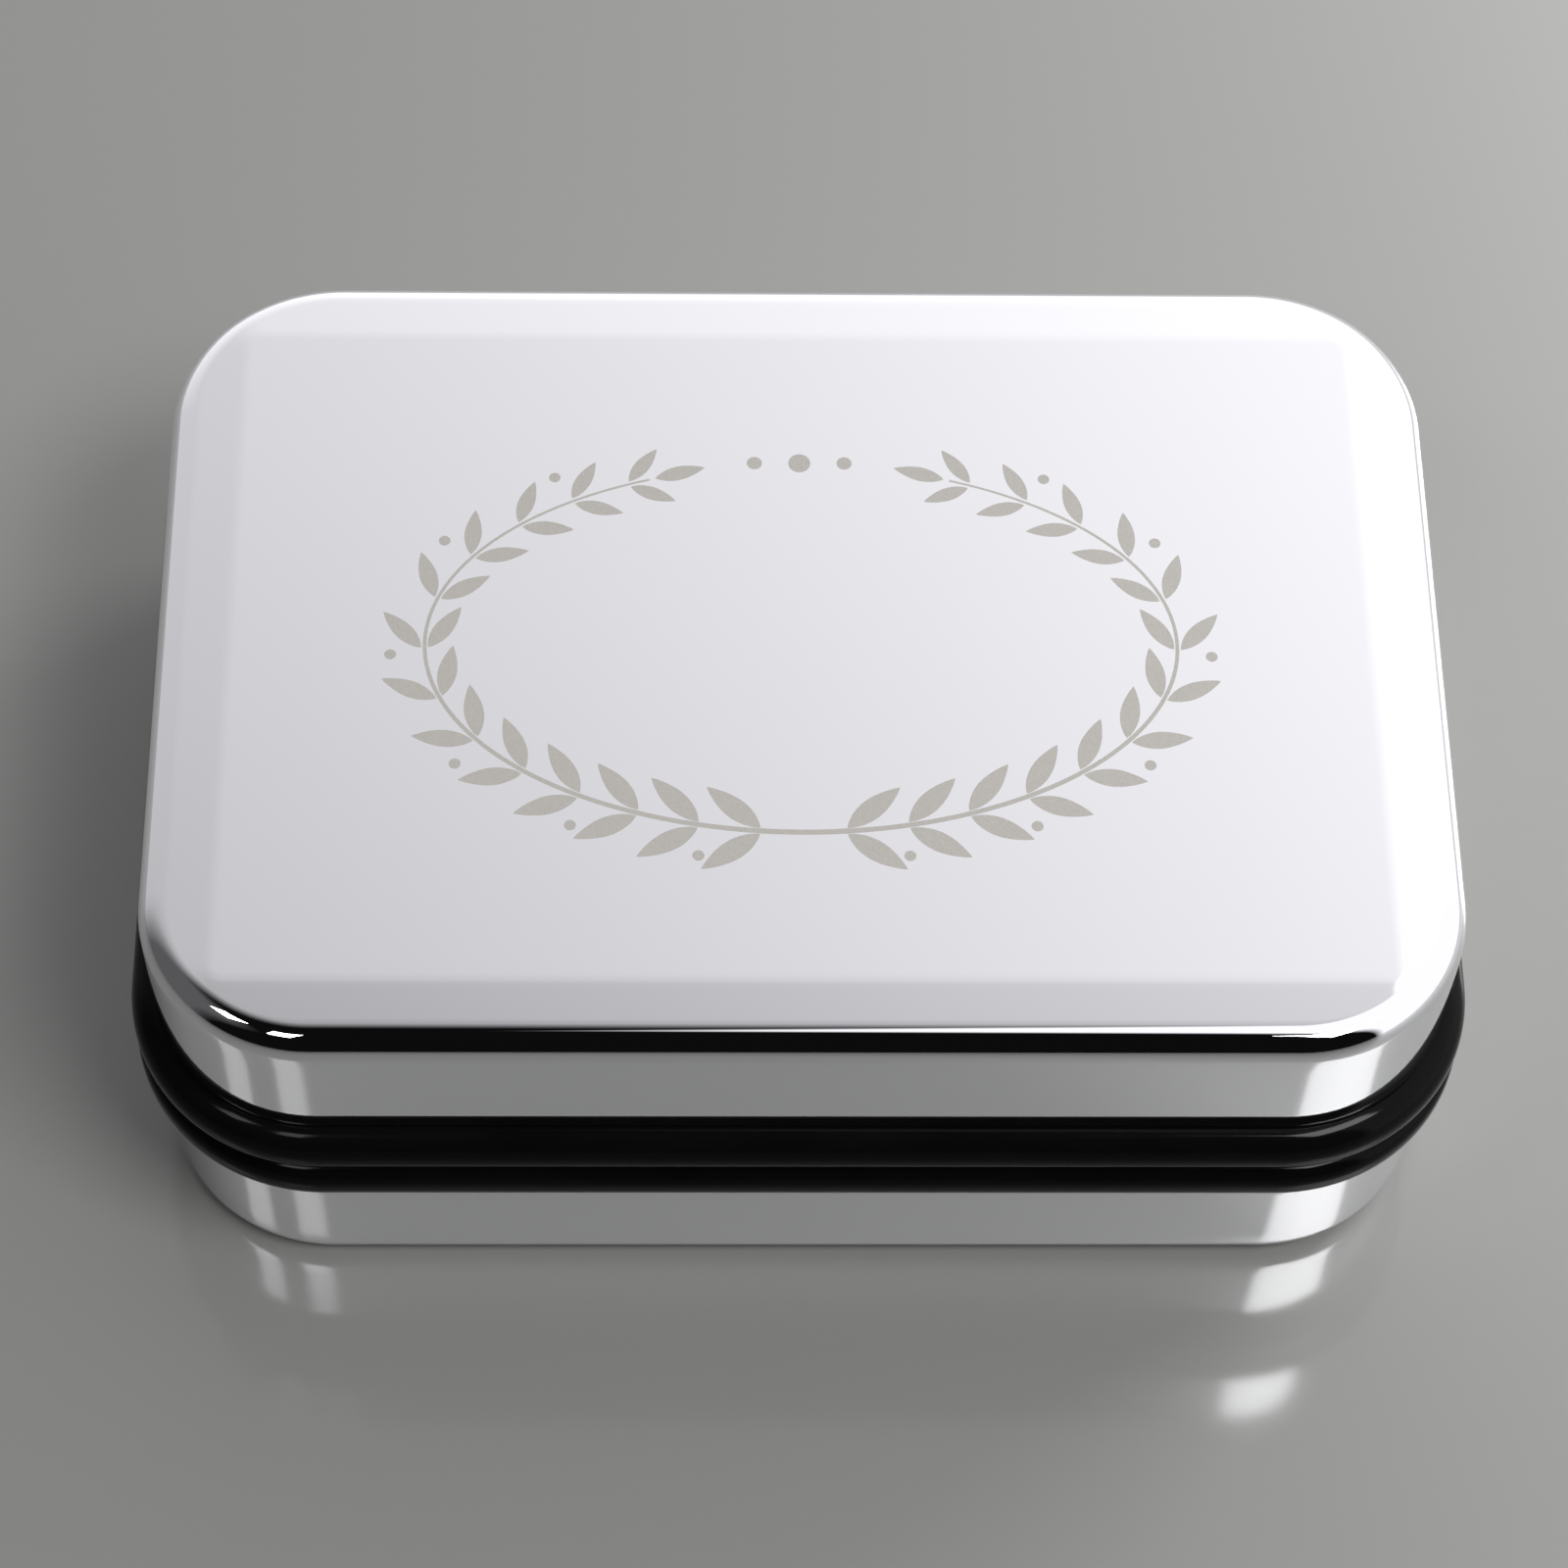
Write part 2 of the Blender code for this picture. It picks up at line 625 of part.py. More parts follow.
def add_fasteners(steel, axis):
    """Screws through both leaves into the rims, and the spring's rivet. Heads face the box's inside."""
    inwards = (0, -1, 0)
    seat = SHELL_DEPTH / 2 - PLATE_INSET - LEAF_THICKNESS / 2 - CLOSE_GAP
    length = LEAF_THICKNESS + CLOSE_GAP + SCREW_BITE
    profile = headed_profile(SCREW_HEAD_RADIUS, SCREW_HEAD_HEIGHT, SCREW_RADIUS, length)
    for side, label in ((-1, "left"), (1, "right")):
        x = side * SCREW_SPACING / 2
        turned(f"base_screw_{label}", profile, (x, seat, PANEL_LEVEL - SCREW_LEVEL), inwards, steel)
        above = turned(f"lid_screw_{label}", profile, (x, seat - HINGE_Y, SCREW_LEVEL), inwards, steel)
        above.parent = axis
    spring_seat = SHELL_DEPTH / 2 - SPRING_INSET - SPRING_THICKNESS / 2 - CLOSE_GAP
    through = LEAF_THICKNESS + SPRING_THICKNESS + 2 * CLOSE_GAP
    rivet = headed_profile(RIVET_HEAD_RADIUS, RIVET_HEAD_HEIGHT, RIVET_RADIUS, through)
    turned("spring_rivet", rivet, (0, spring_seat, PANEL_LEVEL - RIVET_LEVEL), inwards, steel)


def add_pin(steel):
    reach = HINGE_WIDTH / 2 + PIN_END
    pin = rod(
        "hinge_pin", PIN_RADIUS, (-reach, HINGE_Y, PANEL_LEVEL), (reach, HINGE_Y, PANEL_LEVEL), parts
    )
    round_edges(pin, PIN_END, PIN_END_SEGMENTS)
    finish(pin, steel)


def lining_mesh(name, bottom, top):
    inner = LINING_INSET + LINING_THICKNESS
    return slab(name, [rounded_outline(LINING_INSET), rounded_outline(inner)], bottom, top)


def add_base_filling(card, foam, velvet):
    """Floor card, riser, and the necklace pad's board, foam and cover, from the floor up."""
    outline = rounded_outline(RIM_INNER_INSET)
    sheet = slab("floor_card", [outline], FLOOR_CARD_LEVEL, FLOOR_CARD_LEVEL + CARD_THICKNESS)
    finish(add_object("floor_card", sheet), card)
    walls = [rounded_outline(PAD_INSET), rounded_outline(PAD_INSET + RISER_THICKNESS)]
    riser = add_object("pad_riser", slab("pad_riser", walls, RISER_LEVEL, RISER_LEVEL + RISER_HEIGHT))
    finish(riser, card)

    filling_openings = pad_openings("filling", FILLING_GAP)
    filling_inset = PAD_INSET + FILLING_GAP
    board = add_object(
        "pad_board",
        slab("pad_board", [rounded_outline(filling_inset)], BOARD_LEVEL, BOARD_LEVEL + BOARD_THICKNESS),
        cutters,
    )
    boolean(board, "DIFFERENCE", *filling_openings)
    finish(add_object("pad_board", evaluated_mesh(board)), card)

    foam_radius = PAD_EDGE_RADIUS - FILLING_GAP
    block = pad_block(
        "pad_foam", filling_inset, FOAM_LEVEL, PAD_LEVEL - FILLING_GAP, PAD_CROWN, foam_radius
    )
    boolean(block, "DIFFERENCE", *filling_openings)
    finish(add_object("pad_foam", evaluated_mesh(block)), foam)

    hollow = pad_block(
        "pad_hollow",
        PAD_INSET + COVER_THICKNESS,
        BOARD_LEVEL - OVERRUN,
        PAD_LEVEL - COVER_THICKNESS,
        PAD_CROWN,
        PAD_EDGE_RADIUS - COVER_THICKNESS,
    )
    boolean(hollow, "DIFFERENCE", *pad_openings("hollow", COVER_THICKNESS))
    cover = pad_block("pad_cover", PAD_INSET, BOARD_LEVEL, PAD_LEVEL, PAD_CROWN, PAD_EDGE_RADIUS)
    boolean(cover, "DIFFERENCE", *pad_openings("cover", 0), hollow)
    finish(add_object("pad_cover", evaluated_mesh(cover)), velvet)


def add_lid_filling(card, foam, satin, axis):
    """The lid's board on the end of the skirt, and the satin pad under it, crown down."""
    outline = rounded_outline(SKIRT_INSET)
    board = slab("lid_board", [outline], LID_BOARD_LEVEL, LID_BOARD_LEVEL + BOARD_THICKNESS)
    place_half("lid_board", board, card, True, axis)
    depth = LID_FOAM_HEIGHT + FILLING_GAP
    over = Matrix.Translation((0, 0, LID_PAD_ROOT)) @ Matrix.Rotation(math.pi, 4, "Y")
    hollow = pad_block(
        "lid_hollow",
        PAD_INSET + COVER_THICKNESS,
        -OVERRUN,
        depth - COVER_THICKNESS,
        LID_PAD_CROWN,
        LID_PAD_EDGE_RADIUS - COVER_THICKNESS,
    )
    cover = pad_block("lid_cover", PAD_INSET, 0, depth, LID_PAD_CROWN, LID_PAD_EDGE_RADIUS)
    boolean(cover, "DIFFERENCE", hollow)
    cover_mesh = evaluated_mesh(cover)
    cover_mesh.transform(over)
    place_half("lid_cover", cover_mesh, satin, True, axis)
    filling = pad_block(
        "lid_foam",
        PAD_INSET + FILLING_GAP,
        0,
        LID_FOAM_HEIGHT,
        LID_PAD_CROWN,
        LID_PAD_EDGE_RADIUS - FILLING_GAP,
    )
    filling_mesh = evaluated_mesh(filling)
    filling_mesh.transform(over)
    place_half("lid_foam", filling_mesh, foam, True, axis)


def main():
    clear_scene()
    plate = material("mirror_plate", (0.86, 0.86, 0.88), 0.05, 1.0)
    moulded = material("black_moulding", (0.010, 0.010, 0.011), 0.22)
    steel = material("hinge_steel", (0.55, 0.55, 0.56), 0.32, 1.0)
    card = material("grey_card", (0.30, 0.28, 0.25), 0.90)
    foam = material("pad_foam", (0.55, 0.53, 0.48), 0.95)
    velvet = material("black_velvet", (0.012, 0.012, 0.014), 0.95)
    satin = material("black_satin", (0.020, 0.020, 0.022), 0.45)

    axis = add_object("lid_axis", None)
    axis.location = (0, HINGE_Y, PANEL_LEVEL)

    shell = pressed_shell()
    place_half("base_shell", shell, plate, False, axis)
    place_half("lid_shell", shell, plate, True, axis)
    base_section = rim_section(base_joint(), BASE_BEAD_ROOT, BASE_BEAD_RADIUS)
    lid_section = rim_section(lid_joint(), LID_BEAD_ROOT, LID_BEAD_RADIUS)
    base_rim = moulded_rim("base_frame", base_section, WINDOW_LEVEL)
    place_half("base_frame", base_rim, moulded, False, axis)
    place_half("lid_frame", moulded_rim("lid_frame", lid_section, 0), moulded, True, axis)

    place_half("base_hinge_leaf", base_leaf_mesh(), steel, False, axis)
    place_half("lid_hinge_leaf", lid_leaf_mesh(), steel, True, axis)
    place_half("hinge_spring", spring_mesh(), steel, False, axis)
    add_pin(steel)
    add_fasteners(steel, axis)

    base_lining = lining_mesh("base_lining", LINING_SETBACK, PANEL_LEVEL - BOARD_LEVEL)
    place_half("base_lining", base_lining, velvet, False, axis)
    lid_lining = lining_mesh("lid_lining", LINING_SETBACK, LID_PAD_ROOT)
    place_half("lid_lining", lid_lining, velvet, True, axis)
    add_base_filling(card, foam, velvet)
    add_lid_filling(card, foam, satin, axis)


main()
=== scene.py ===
"""Looks of the hinged necklace box, round its packed frame, laid out as a Blender add-on.

Metres, +Z up, the front towards -Y. Each half is drawn at heights over the parting plane, towards its own
panel.
"""

import json
import math

import bmesh
import bpy
import numpy as np
from mathutils import Matrix, Vector
from mathutils.geometry import delaunay_2d_cdt

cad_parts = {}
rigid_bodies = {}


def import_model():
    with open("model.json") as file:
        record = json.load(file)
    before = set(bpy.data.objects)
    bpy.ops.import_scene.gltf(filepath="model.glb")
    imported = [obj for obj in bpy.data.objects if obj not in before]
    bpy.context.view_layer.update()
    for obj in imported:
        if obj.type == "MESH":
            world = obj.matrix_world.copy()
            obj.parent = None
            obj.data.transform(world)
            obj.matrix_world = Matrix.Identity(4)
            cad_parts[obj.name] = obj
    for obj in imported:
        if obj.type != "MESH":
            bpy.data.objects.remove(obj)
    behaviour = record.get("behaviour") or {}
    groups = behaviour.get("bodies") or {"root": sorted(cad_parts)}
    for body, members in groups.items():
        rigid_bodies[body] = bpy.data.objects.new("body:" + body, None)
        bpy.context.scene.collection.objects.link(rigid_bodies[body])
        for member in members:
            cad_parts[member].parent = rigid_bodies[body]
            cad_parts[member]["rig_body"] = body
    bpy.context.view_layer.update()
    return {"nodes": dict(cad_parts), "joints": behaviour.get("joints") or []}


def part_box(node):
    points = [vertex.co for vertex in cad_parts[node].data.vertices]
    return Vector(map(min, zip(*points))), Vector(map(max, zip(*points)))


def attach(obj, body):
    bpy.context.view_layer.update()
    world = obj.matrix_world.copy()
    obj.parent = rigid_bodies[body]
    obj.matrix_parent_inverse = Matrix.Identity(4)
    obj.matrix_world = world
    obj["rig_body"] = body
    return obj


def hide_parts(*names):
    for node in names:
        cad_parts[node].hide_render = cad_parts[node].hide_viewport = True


bl_info = {
    "name": "Necklace Box",
    "version": (1, 0, 0),
    "blender": (4, 5, 0),
    "location": "View3D > Sidebar > Necklace Box",
    "description": "Dresses a hinged necklace box with polished shells, moulded rims, linings and pads",
    "category": "Object",
}

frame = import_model()
LID_LOW, LID_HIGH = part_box("lid_shell")
BASE_LOW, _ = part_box("base_shell")
_, RIM_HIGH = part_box("lid_frame")
PARTING = (LID_HIGH.z + BASE_LOW.z) / 2
FINISH_PREFIX = "dressed_"

# Gaps, radii and overruns that the pieces share
SEAT_GAP = 0.0003
MOULDED_RADIUS = 0.0003
CUT_OVERRUN = 0.001
MERGE_DISTANCE = 2e-7

# The hinge's seat in the rims' rear walls
SEAT_HALF_WIDTH = 0.0123
SEAT_DEPTH = 0.0042
SEAT_OVERRUN = 0.0035
SEAT_START = 0.0031
GROOVE_RADIUS = 0.00205
GROOVE_STEPS = 48
STRAP_HEIGHT = 0.0018
POCKET_HEIGHT = 0.0043
POCKET_WALL = 0.0001
SPRING_HALF_WIDTH = 0.0048
SPRING_HEIGHT = 0.0026

# How far a pad's sides draw in, and the folds and the dip on its top
COVER_SOFTEN = 0.00015
FOAM_SOFTEN = 0.0001
FOLD_COUNT = 61
FOLD_SHARE = 0.02
NOTCH_DIP = 0.004

# The wreath's berries, dots and branch tips
BERRY_RADIUS = 0.00042
BERRY_REACH = 0.0024
DOT_RADIUS = 0.00055
MIDDLE_DOT_RADIUS = 0.0008
DOT_SPACING = 0.0032
TIP_REACH = 0.0004

# The floor is a wide slab just under the box
FLOOR_HALF = 3.0
FLOOR_TOP = -0.00003
FLOOR_BOTTOM = -0.010


def length(name, description, default):
    return bpy.props.FloatProperty(
        name=name, description=description, default=default, min=0.0, unit="LENGTH", precision=5
    )


def colour(name, description, default):
    return bpy.props.FloatVectorProperty(
        name=name, description=description, default=default, size=3, min=0.0, max=1.0, subtype="COLOR"
    )


def angle_of(name, description, degrees):
    return bpy.props.FloatProperty(
        name=name, description=description, default=math.radians(degrees), min=0.0, subtype="ANGLE"
    )


def light_level(name, description, default):
    return bpy.props.FloatProperty(name=name, description=description, default=default, min=0.0)


class ShellSizes(bpy.types.PropertyGroup):
    """Sizes of the two pressed shells"""

    width: length("Width", "Across both end walls", LID_HIGH.x - LID_LOW.x)
    depth: length("Depth", "Across the front and rear walls", LID_HIGH.y - LID_LOW.y)
    corner: length("Corner radius", "Radius of the upright corners", 0.0120)
    sheet: length("Sheet", "Thickness of the pressed sheet", 0.0007)
    edge: length("Edge radius", "Radius between panel and wall", 0.0020)
    margin: length("Border", "Width of the sloping border", 0.0052)
    crease: length("Crease radius", "Plan radius of the border's inner corners", 0.0010)
    blend: length("Crease blend", "Half width of the soft crease", 0.0004)
    slope: angle_of("Border slope", "Fall of the border", 3.0)


class RimSizes(bpy.types.PropertyGroup):
    """Sizes of the two moulded rims"""

    proud: length("Proud", "How far the bead stands off the wall", RIM_HIGH.x - LID_HIGH.x)
    bead: length("Bead", "Height of one bead", 0.0040)
    gap: length("Parting gap", "Gap between the two beads", 0.0003)
    base_root: angle_of("Base bead's root", "Angle at which the base's bead leaves the wall", 18.5)
    base_round: length("Base bead's parting radius", "Radius on the base bead's parting corner", 0.0014)
    lid_root: angle_of("Lid bead's root", "Angle at which the lid's bead leaves the wall", 13.0)
    lid_round: length("Lid bead's parting radius", "Radius on the lid bead's parting corner", 0.0017)
    arc: bpy.props.FloatProperty(
        name="Arc", description="Share of the largest radius that the bead's far arc has", default=0.97
    )
    skirt: length("Skirt", "Thickness of the skirt inside the shell", 0.0012)
    skirt_height: length("Skirt height", "Height of the skirt past the bead", 0.0046)
    lip: length("Lip", "Height of the locating lip", 0.0011)
    lip_wall: length("Lip wall", "Thickness of the locating lip", 0.0009)


class PadSizes(bpy.types.PropertyGroup):
    """Sizes of the linings and the two pads"""

    inset: length("Inset", "From the shell's wall to the pads", 0.0033)
    lining: length("Lining", "Thickness of the lining strip", 0.0005)
    cover: length("Cover", "Thickness of the pads' cloth", 0.0005)
    edge: length("Pad edge", "Radius of the necklace pad's top edge", 0.0014)
    crown: length("Pad crown", "Rise of the necklace pad's middle", 0.0006)
    lid_edge: length("Lid pad edge", "Radius of the lid pad's edge", 0.0018)
    lid_crown: length("Lid pad crown", "Rise of the lid pad's middle", 0.0012)
    notch: length("Finger notch", "Radius of the finger notch", 0.0090)
    overhang: length("Notch centre", "How far the notch's centre lies past the pad", 0.0020)
    notch_fillet: length("Notch fillet", "Radius where the notch meets the front edge", 0.0018)
    slit: length("Slit", "Length of a chain slit", 0.0110)
    slit_width: length("Slit width", "Width of a chain slit", 0.0012)
    slit_inset: length("Slit place", "From the pad's edges to a slit's middle", 0.0105)


class EngravingSizes(bpy.types.PropertyGroup):
    """Sizes of the leaf wreath marked on the lid"""

    half_width: length("Half width", "Half of the wreath's width", 0.0262)
    half_depth: length("Half depth", "Half of the wreath's depth", 0.0152)
    leaf: length("Leaf", "Length of a leaf", 0.0049)
    leaf_width: length("Leaf width", "Width of a leaf", 0.0016)
    stem: length("Stem", "Width of the stem", 0.00042)
    pairs: bpy.props.IntProperty(
        name="Pairs", description="Pairs of leaves on one branch", default=13, min=3
    )


class Finishes(bpy.types.PropertyGroup):
    """Colours of the finishes"""

    plate: colour("Plate", "Bright plated shells", (0.90, 0.90, 0.925))
    mark: colour("Marking", "Laser marking on the lid", (0.295, 0.283, 0.262))
    moulding: colour("Moulding", "Black moulded rims", (0.0018, 0.0018, 0.0019))
    steel: colour("Steel", "Plated hinge strip", (0.55, 0.55, 0.56))
    card: colour("Card", "Grey card", (0.30, 0.28, 0.25))
    foam: colour("Foam", "Pad filling", (0.55, 0.53, 0.48))
    velvet: colour("Velvet", "Pile of the linings and the necklace pad", (0.012, 0.012, 0.014))
    satin: colour("Satin", "Cloth of the lid pad", (0.020, 0.020, 0.022))


class StudioSettings(bpy.types.PropertyGroup):
    """Floor, lamps and camera"""

    floor: colour("Floor", "Plain pale floor", (0.174, 0.176, 0.169))
    key: light_level("Key", "Radiance of the key softbox", 21.0)
    strip: light_level("Strip", "Radiance of the strip lights", 9.0)
    low: light_level("Low", "Radiance of the low side softbox", 30.0)
    lens: length("Focal length", "Focal length on a 36 mm wide frame", 0.10524)


SECTIONS = {
    "box_shell": ShellSizes,
    "box_rim": RimSizes,
    "box_pad": PadSizes,
    "box_engraving": EngravingSizes,
    "box_finish": Finishes,
    "box_studio": StudioSettings,
}


def rounded_loop(half_x, half_y, radius, corner_steps=28, side_steps=10):
    """Points and outward normals round a rounded rectangle.

    Each corner is its centre plus radius * (cos a, sin a), a running a quarter turn, and each straight side
    runs evenly from one corner to the next.
    """
    turn = np.linspace(0.0, np.pi / 2, corner_steps + 1)
    share = np.linspace(0.0, 1.0, side_steps + 1)[1:-1, None]
    signs = np.array([(1, -1), (1, 1), (-1, 1), (-1, -1)])
    centres = signs * (half_x - radius, half_y - radius)
    points, normals = [], []
    for i in range(4):
        angle = turn + (i - 1) * np.pi / 2
        round_it = np.stack([np.cos(angle), np.sin(angle)], -1)
        arc = centres[i] + radius * round_it
        following = centres[(i + 1) % 4] + radius * round_it[-1]
        points += [arc, arc[-1] + (following - arc[-1]) * share]
        normals += [round_it, np.repeat(round_it[-1:], side_steps - 1, 0)]
    return np.concatenate(points), np.concatenate(normals)


def filleted(corners, steps=8):
    """A closed outline from (x, y, radius) corners, each turned by an arc tangent to both sides."""
    spots = np.array([corner[:2] for corner in corners])
    pieces = []
    for i, (_, _, radius) in enumerate(corners):
        here = spots[i]
        if not radius:
            pieces.append(here[None])
            continue
        back = spots[i - 1] - here
        ahead = spots[(i + 1) % len(spots)] - here
        back, ahead = back / np.linalg.norm(back), ahead / np.linalg.norm(ahead)
        half = np.arccos(np.clip(back @ ahead, -1, 1)) / 2
        middle = here + (back + ahead) / np.linalg.norm(back + ahead) * radius / np.sin(half)
        start = here + back * radius / np.tan(half) - middle
        sweep = np.sign(ahead[0] * back[1] - ahead[1] * back[0]) * (np.pi - 2 * half)
        angle = np.linspace(0.0, sweep, steps + 1)
        c, s = np.cos(angle), np.sin(angle)
        turned = [start[0] * c - start[1] * s, start[0] * s + start[1] * c]
        pieces.append(middle + np.stack(turned, -1))
    return np.concatenate(pieces)


def heights(loop, level):
    """The loop's points at one height, or at an array of heights."""
    return np.column_stack([loop, np.broadcast_to(level, len(loop))])


def new_object(name, points, faces):
    mesh = bpy.data.meshes.new(name)
    mesh.from_pydata(np.asarray(points).tolist(), [], faces)
    obj = bpy.data.objects.new(name, mesh)
    bpy.context.scene.collection.objects.link(obj)
    return obj


def grid_object(name, rings, wrap=False, caps=(True, True)):
    """Quads between rings of points. wrap joins the last ring to the first, and caps close the ends."""
    rings = np.asarray(rings)
    rows, columns = rings.shape[:2]
    index = np.arange(rows * columns).reshape(rows, columns)
    lower = index if wrap else index[:-1]
    upper = np.roll(index, -1, 0) if wrap else index[1:]
    quads = np.stack([lower, np.roll(lower, -1, 1), np.roll(upper, -1, 1), upper], -1).reshape(-1, 4)
    faces = quads.tolist()
    if not wrap and caps[0]:
        faces.append(index[0][::-1].tolist())
    if not wrap and caps[1]:
        faces.append(index[-1].tolist())
    return new_object(name, rings.reshape(-1, 3), faces)


def settle(obj, materials, sharp=35.0):
    """Merges doubles, turns every face outwards, shades smooth but for edges sharper than the angle."""
    shape = bmesh.new()
    shape.from_mesh(obj.data)
    bmesh.ops.remove_doubles(shape, verts=shape.verts, dist=MERGE_DISTANCE)
    bmesh.ops.recalc_face_normals(shape, faces=shape.faces)
    shape.to_mesh(obj.data)
    shape.free()
    obj.data.shade_smooth()
    obj.data.set_sharp_from_angle(angle=math.radians(sharp))
    for made in materials:
        if made.name not in obj.data.materials:
            obj.data.materials.append(made)
    return obj


def cut_away(obj, cutters):
    """Takes the cutters' space out of the piece's mesh, then removes them."""
    for cutter in cutters:
        modifier = obj.modifiers.new("cut", "BOOLEAN")
        modifier.operation = "DIFFERENCE"
        modifier.solver = "EXACT"
        modifier.object = cutter
    graph = bpy.context.evaluated_depsgraph_get()
    made = bpy.data.meshes.new_from_object(obj.evaluated_get(graph))
    obj.modifiers.clear()
    old = obj.data
    obj.data = made
    bpy.data.meshes.remove(old)
    for cutter in cutters:
        bpy.data.objects.remove(cutter, do_unlink=True)


def block(name, low, high):
    """A box between two corners, as a four point loop at two heights."""
    (x0, y0, z0), (x1, y1, z1) = low, high
    loop = np.array([(x0, y0), (x1, y0), (x1, y1), (x0, y1)])
    obj = grid_object(name, [heights(loop, z0), heights(loop, z1)])
    return settle(obj, [])


def place(obj, body, slot, *nodes):
    """The finished piece stands for its nodes and rides on their body. The slot is not used."""
    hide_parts(*nodes)
    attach(obj, body)


def to_half(points, in_lid):
    """From heights over the parting plane to the box's frame. The base half is turned over about Y."""
    points = np.asarray(points, float)
    turn = (1.0, 1.0, 1.0) if in_lid else (-1.0, 1.0, -1.0)
    return points * turn + (0.0, 0.0, PARTING)


def step_node(tree, kind, **settings):
    """Adds a shader node, sets its plain attributes, and its sockets from a dict named sockets."""
    made = tree.nodes.new(kind)
    sockets = settings.pop("sockets", {})
    for name, value in settings.items():
        setattr(made, name, value)
    for name, value in sockets.items():
        if isinstance(value, bpy.types.NodeSocket):
            tree.links.new(value, made.inputs[name])
        else:
            made.inputs[name].default_value = value
    return made


def finish_of(name, **settings):
    """A new material with these shader sockets set. Returns it, its tree, shader and coordinates."""
    made = bpy.data.materials.new(FINISH_PREFIX + name)
    made.use_nodes = True
    tree = made.node_tree
    shader = tree.nodes["Principled BSDF"]
    for socket, value in settings.items():
        shader.inputs[socket].default_value = value
    place_of = tree.nodes.new("ShaderNodeTexCoord").outputs["Object"]
    return made, tree, shader, place_of


def stretched(tree, place_of, scale):
    sockets = {"Vector": place_of, "Scale": scale}
    return step_node(tree, "ShaderNodeMapping", sockets=sockets).outputs["Vector"]


def noise(tree, place_of, scale, detail=2.0):
    sockets = {"Vector": place_of, "Scale": scale, "Detail": detail}
    return step_node(tree, "ShaderNodeTexNoise", sockets=sockets).outputs["Fac"]


def spread(tree, value, low, high, start=0.0, end=1.0):
    """Maps a value from start..end to low..high."""
    sockets = {"Value": value, "From Min": start, "From Max": end, "To Min": low, "To Max": high}
    return step_node(tree, "ShaderNodeMapRange", sockets=sockets).outputs["Result"]


def between(tree, share, first, second):
    """A colour between two colours, by share."""
    made = step_node(tree, "ShaderNodeMix", data_type="RGBA")
    tree.links.new(share, made.inputs["Factor"])
    for socket, value in (("A", first), ("B", second)):
        target = [s for s in made.inputs if s.name == socket and s.type == "RGBA"][0]
        target.default_value = (*value, 1.0)
    return [s for s in made.outputs if s.type == "RGBA"][0]


def raise_bumps(tree, shader, height, distance, normal=None):
    sockets = {"Height": height, "Distance": distance, "Strength": 1.0}
    if normal is not None:
        sockets["Normal"] = normal
    made = step_node(tree, "ShaderNodeBump", sockets=sockets).outputs["Normal"]
    tree.links.new(made, shader.inputs["Normal"])
    return made


def tint(tree, shader, share, base, low, high):
    """Base colour from low times the given one to high times it, by share."""
    dark, light = (tuple(min(1.0, channel * factor) for channel in base) for factor in (low, high))
    tree.links.new(between(tree, share, dark, light), shader.inputs["Base Color"])


def gloss(tree, shader, value, low, high, start=0.3, end=0.7):
    """Roughness from low to high as a value runs from start to end."""
    tree.links.new(spread(tree, value, low, high, start, end), shader.inputs["Roughness"])


def polished_plate(finishes):
    """Mirror plate: faint smears in the gloss and a long soft waviness."""
    made, tree, shader, spot = finish_of("mirror_plate", Metallic=1.0)
    smear = noise(tree, stretched(tree, spot, (1.0, 0.25, 1.0)), 90.0, 3.0)
    shader.inputs["Base Color"].default_value = (*finishes.plate, 1.0)
    gloss(tree, shader, smear, low=0.004, high=0.022, start=0.35, end=0.70)
    raise_bumps(tree, shader, noise(tree, spot, 55.0, 1.0), distance=0.000009)
    return made


def laser_mark(finishes):
    """Marked metal: even warm grey with a fine grain."""
    made, tree, shader, spot = finish_of("laser_mark", Metallic=0.0, Roughness=0.55)
    grain = noise(tree, spot, 5200.0)
    tint(tree, shader, grain, finishes.mark, low=0.9, high=1.1)
    raise_bumps(tree, shader, grain, distance=0.000008)
    return made


def black_moulding(finishes):
    """Glossy black plastic: faint flow in the gloss and a very fine moulded skin."""
    settings = {"Metallic": 0.0, "Specular IOR Level": 0.07}
    made, tree, shader, spot = finish_of("black_moulding", **settings)
    flow = noise(tree, stretched(tree, spot, (1.0, 1.0, 3.0)), 160.0, 3.0)
    tint(tree, shader, flow, finishes.moulding, low=1.0, high=1.8)
    gloss(tree, shader, flow, low=0.085, high=0.115)
    raise_bumps(tree, shader, noise(tree, spot, 2600.0), distance=0.0000008)
    return made


def plated_steel(finishes):
    """Plated strip: brushed along the hinge, duller where hands and friction reach."""
    made, tree, shader, spot = finish_of("hinge_steel", Metallic=1.0, Anisotropic=0.4)
    brushed = noise(tree, stretched(tree, spot, (0.06, 1.0, 1.0)), 7000.0)
    worn = noise(tree, spot, 420.0, 3.0)
    tint(tree, shader, worn, finishes.steel, low=0.92, high=1.12)
    gloss(tree, shader, worn, low=0.26, high=0.36)
    raise_bumps(tree, shader, brushed, distance=0.0000025)
    return made


def grey_card(finishes):
    """Grey card: short fibres in the colour and a soft tooth."""
    made, tree, shader, spot = finish_of("grey_card", Roughness=0.9)
    fibres = noise(tree, stretched(tree, spot, (1.0, 0.35, 1.0)), 2600.0, 4.0)
    tint(tree, shader, fibres, finishes.card, low=0.75, high=1.2)
    raise_bumps(tree, shader, fibres, distance=0.00003)
    return made


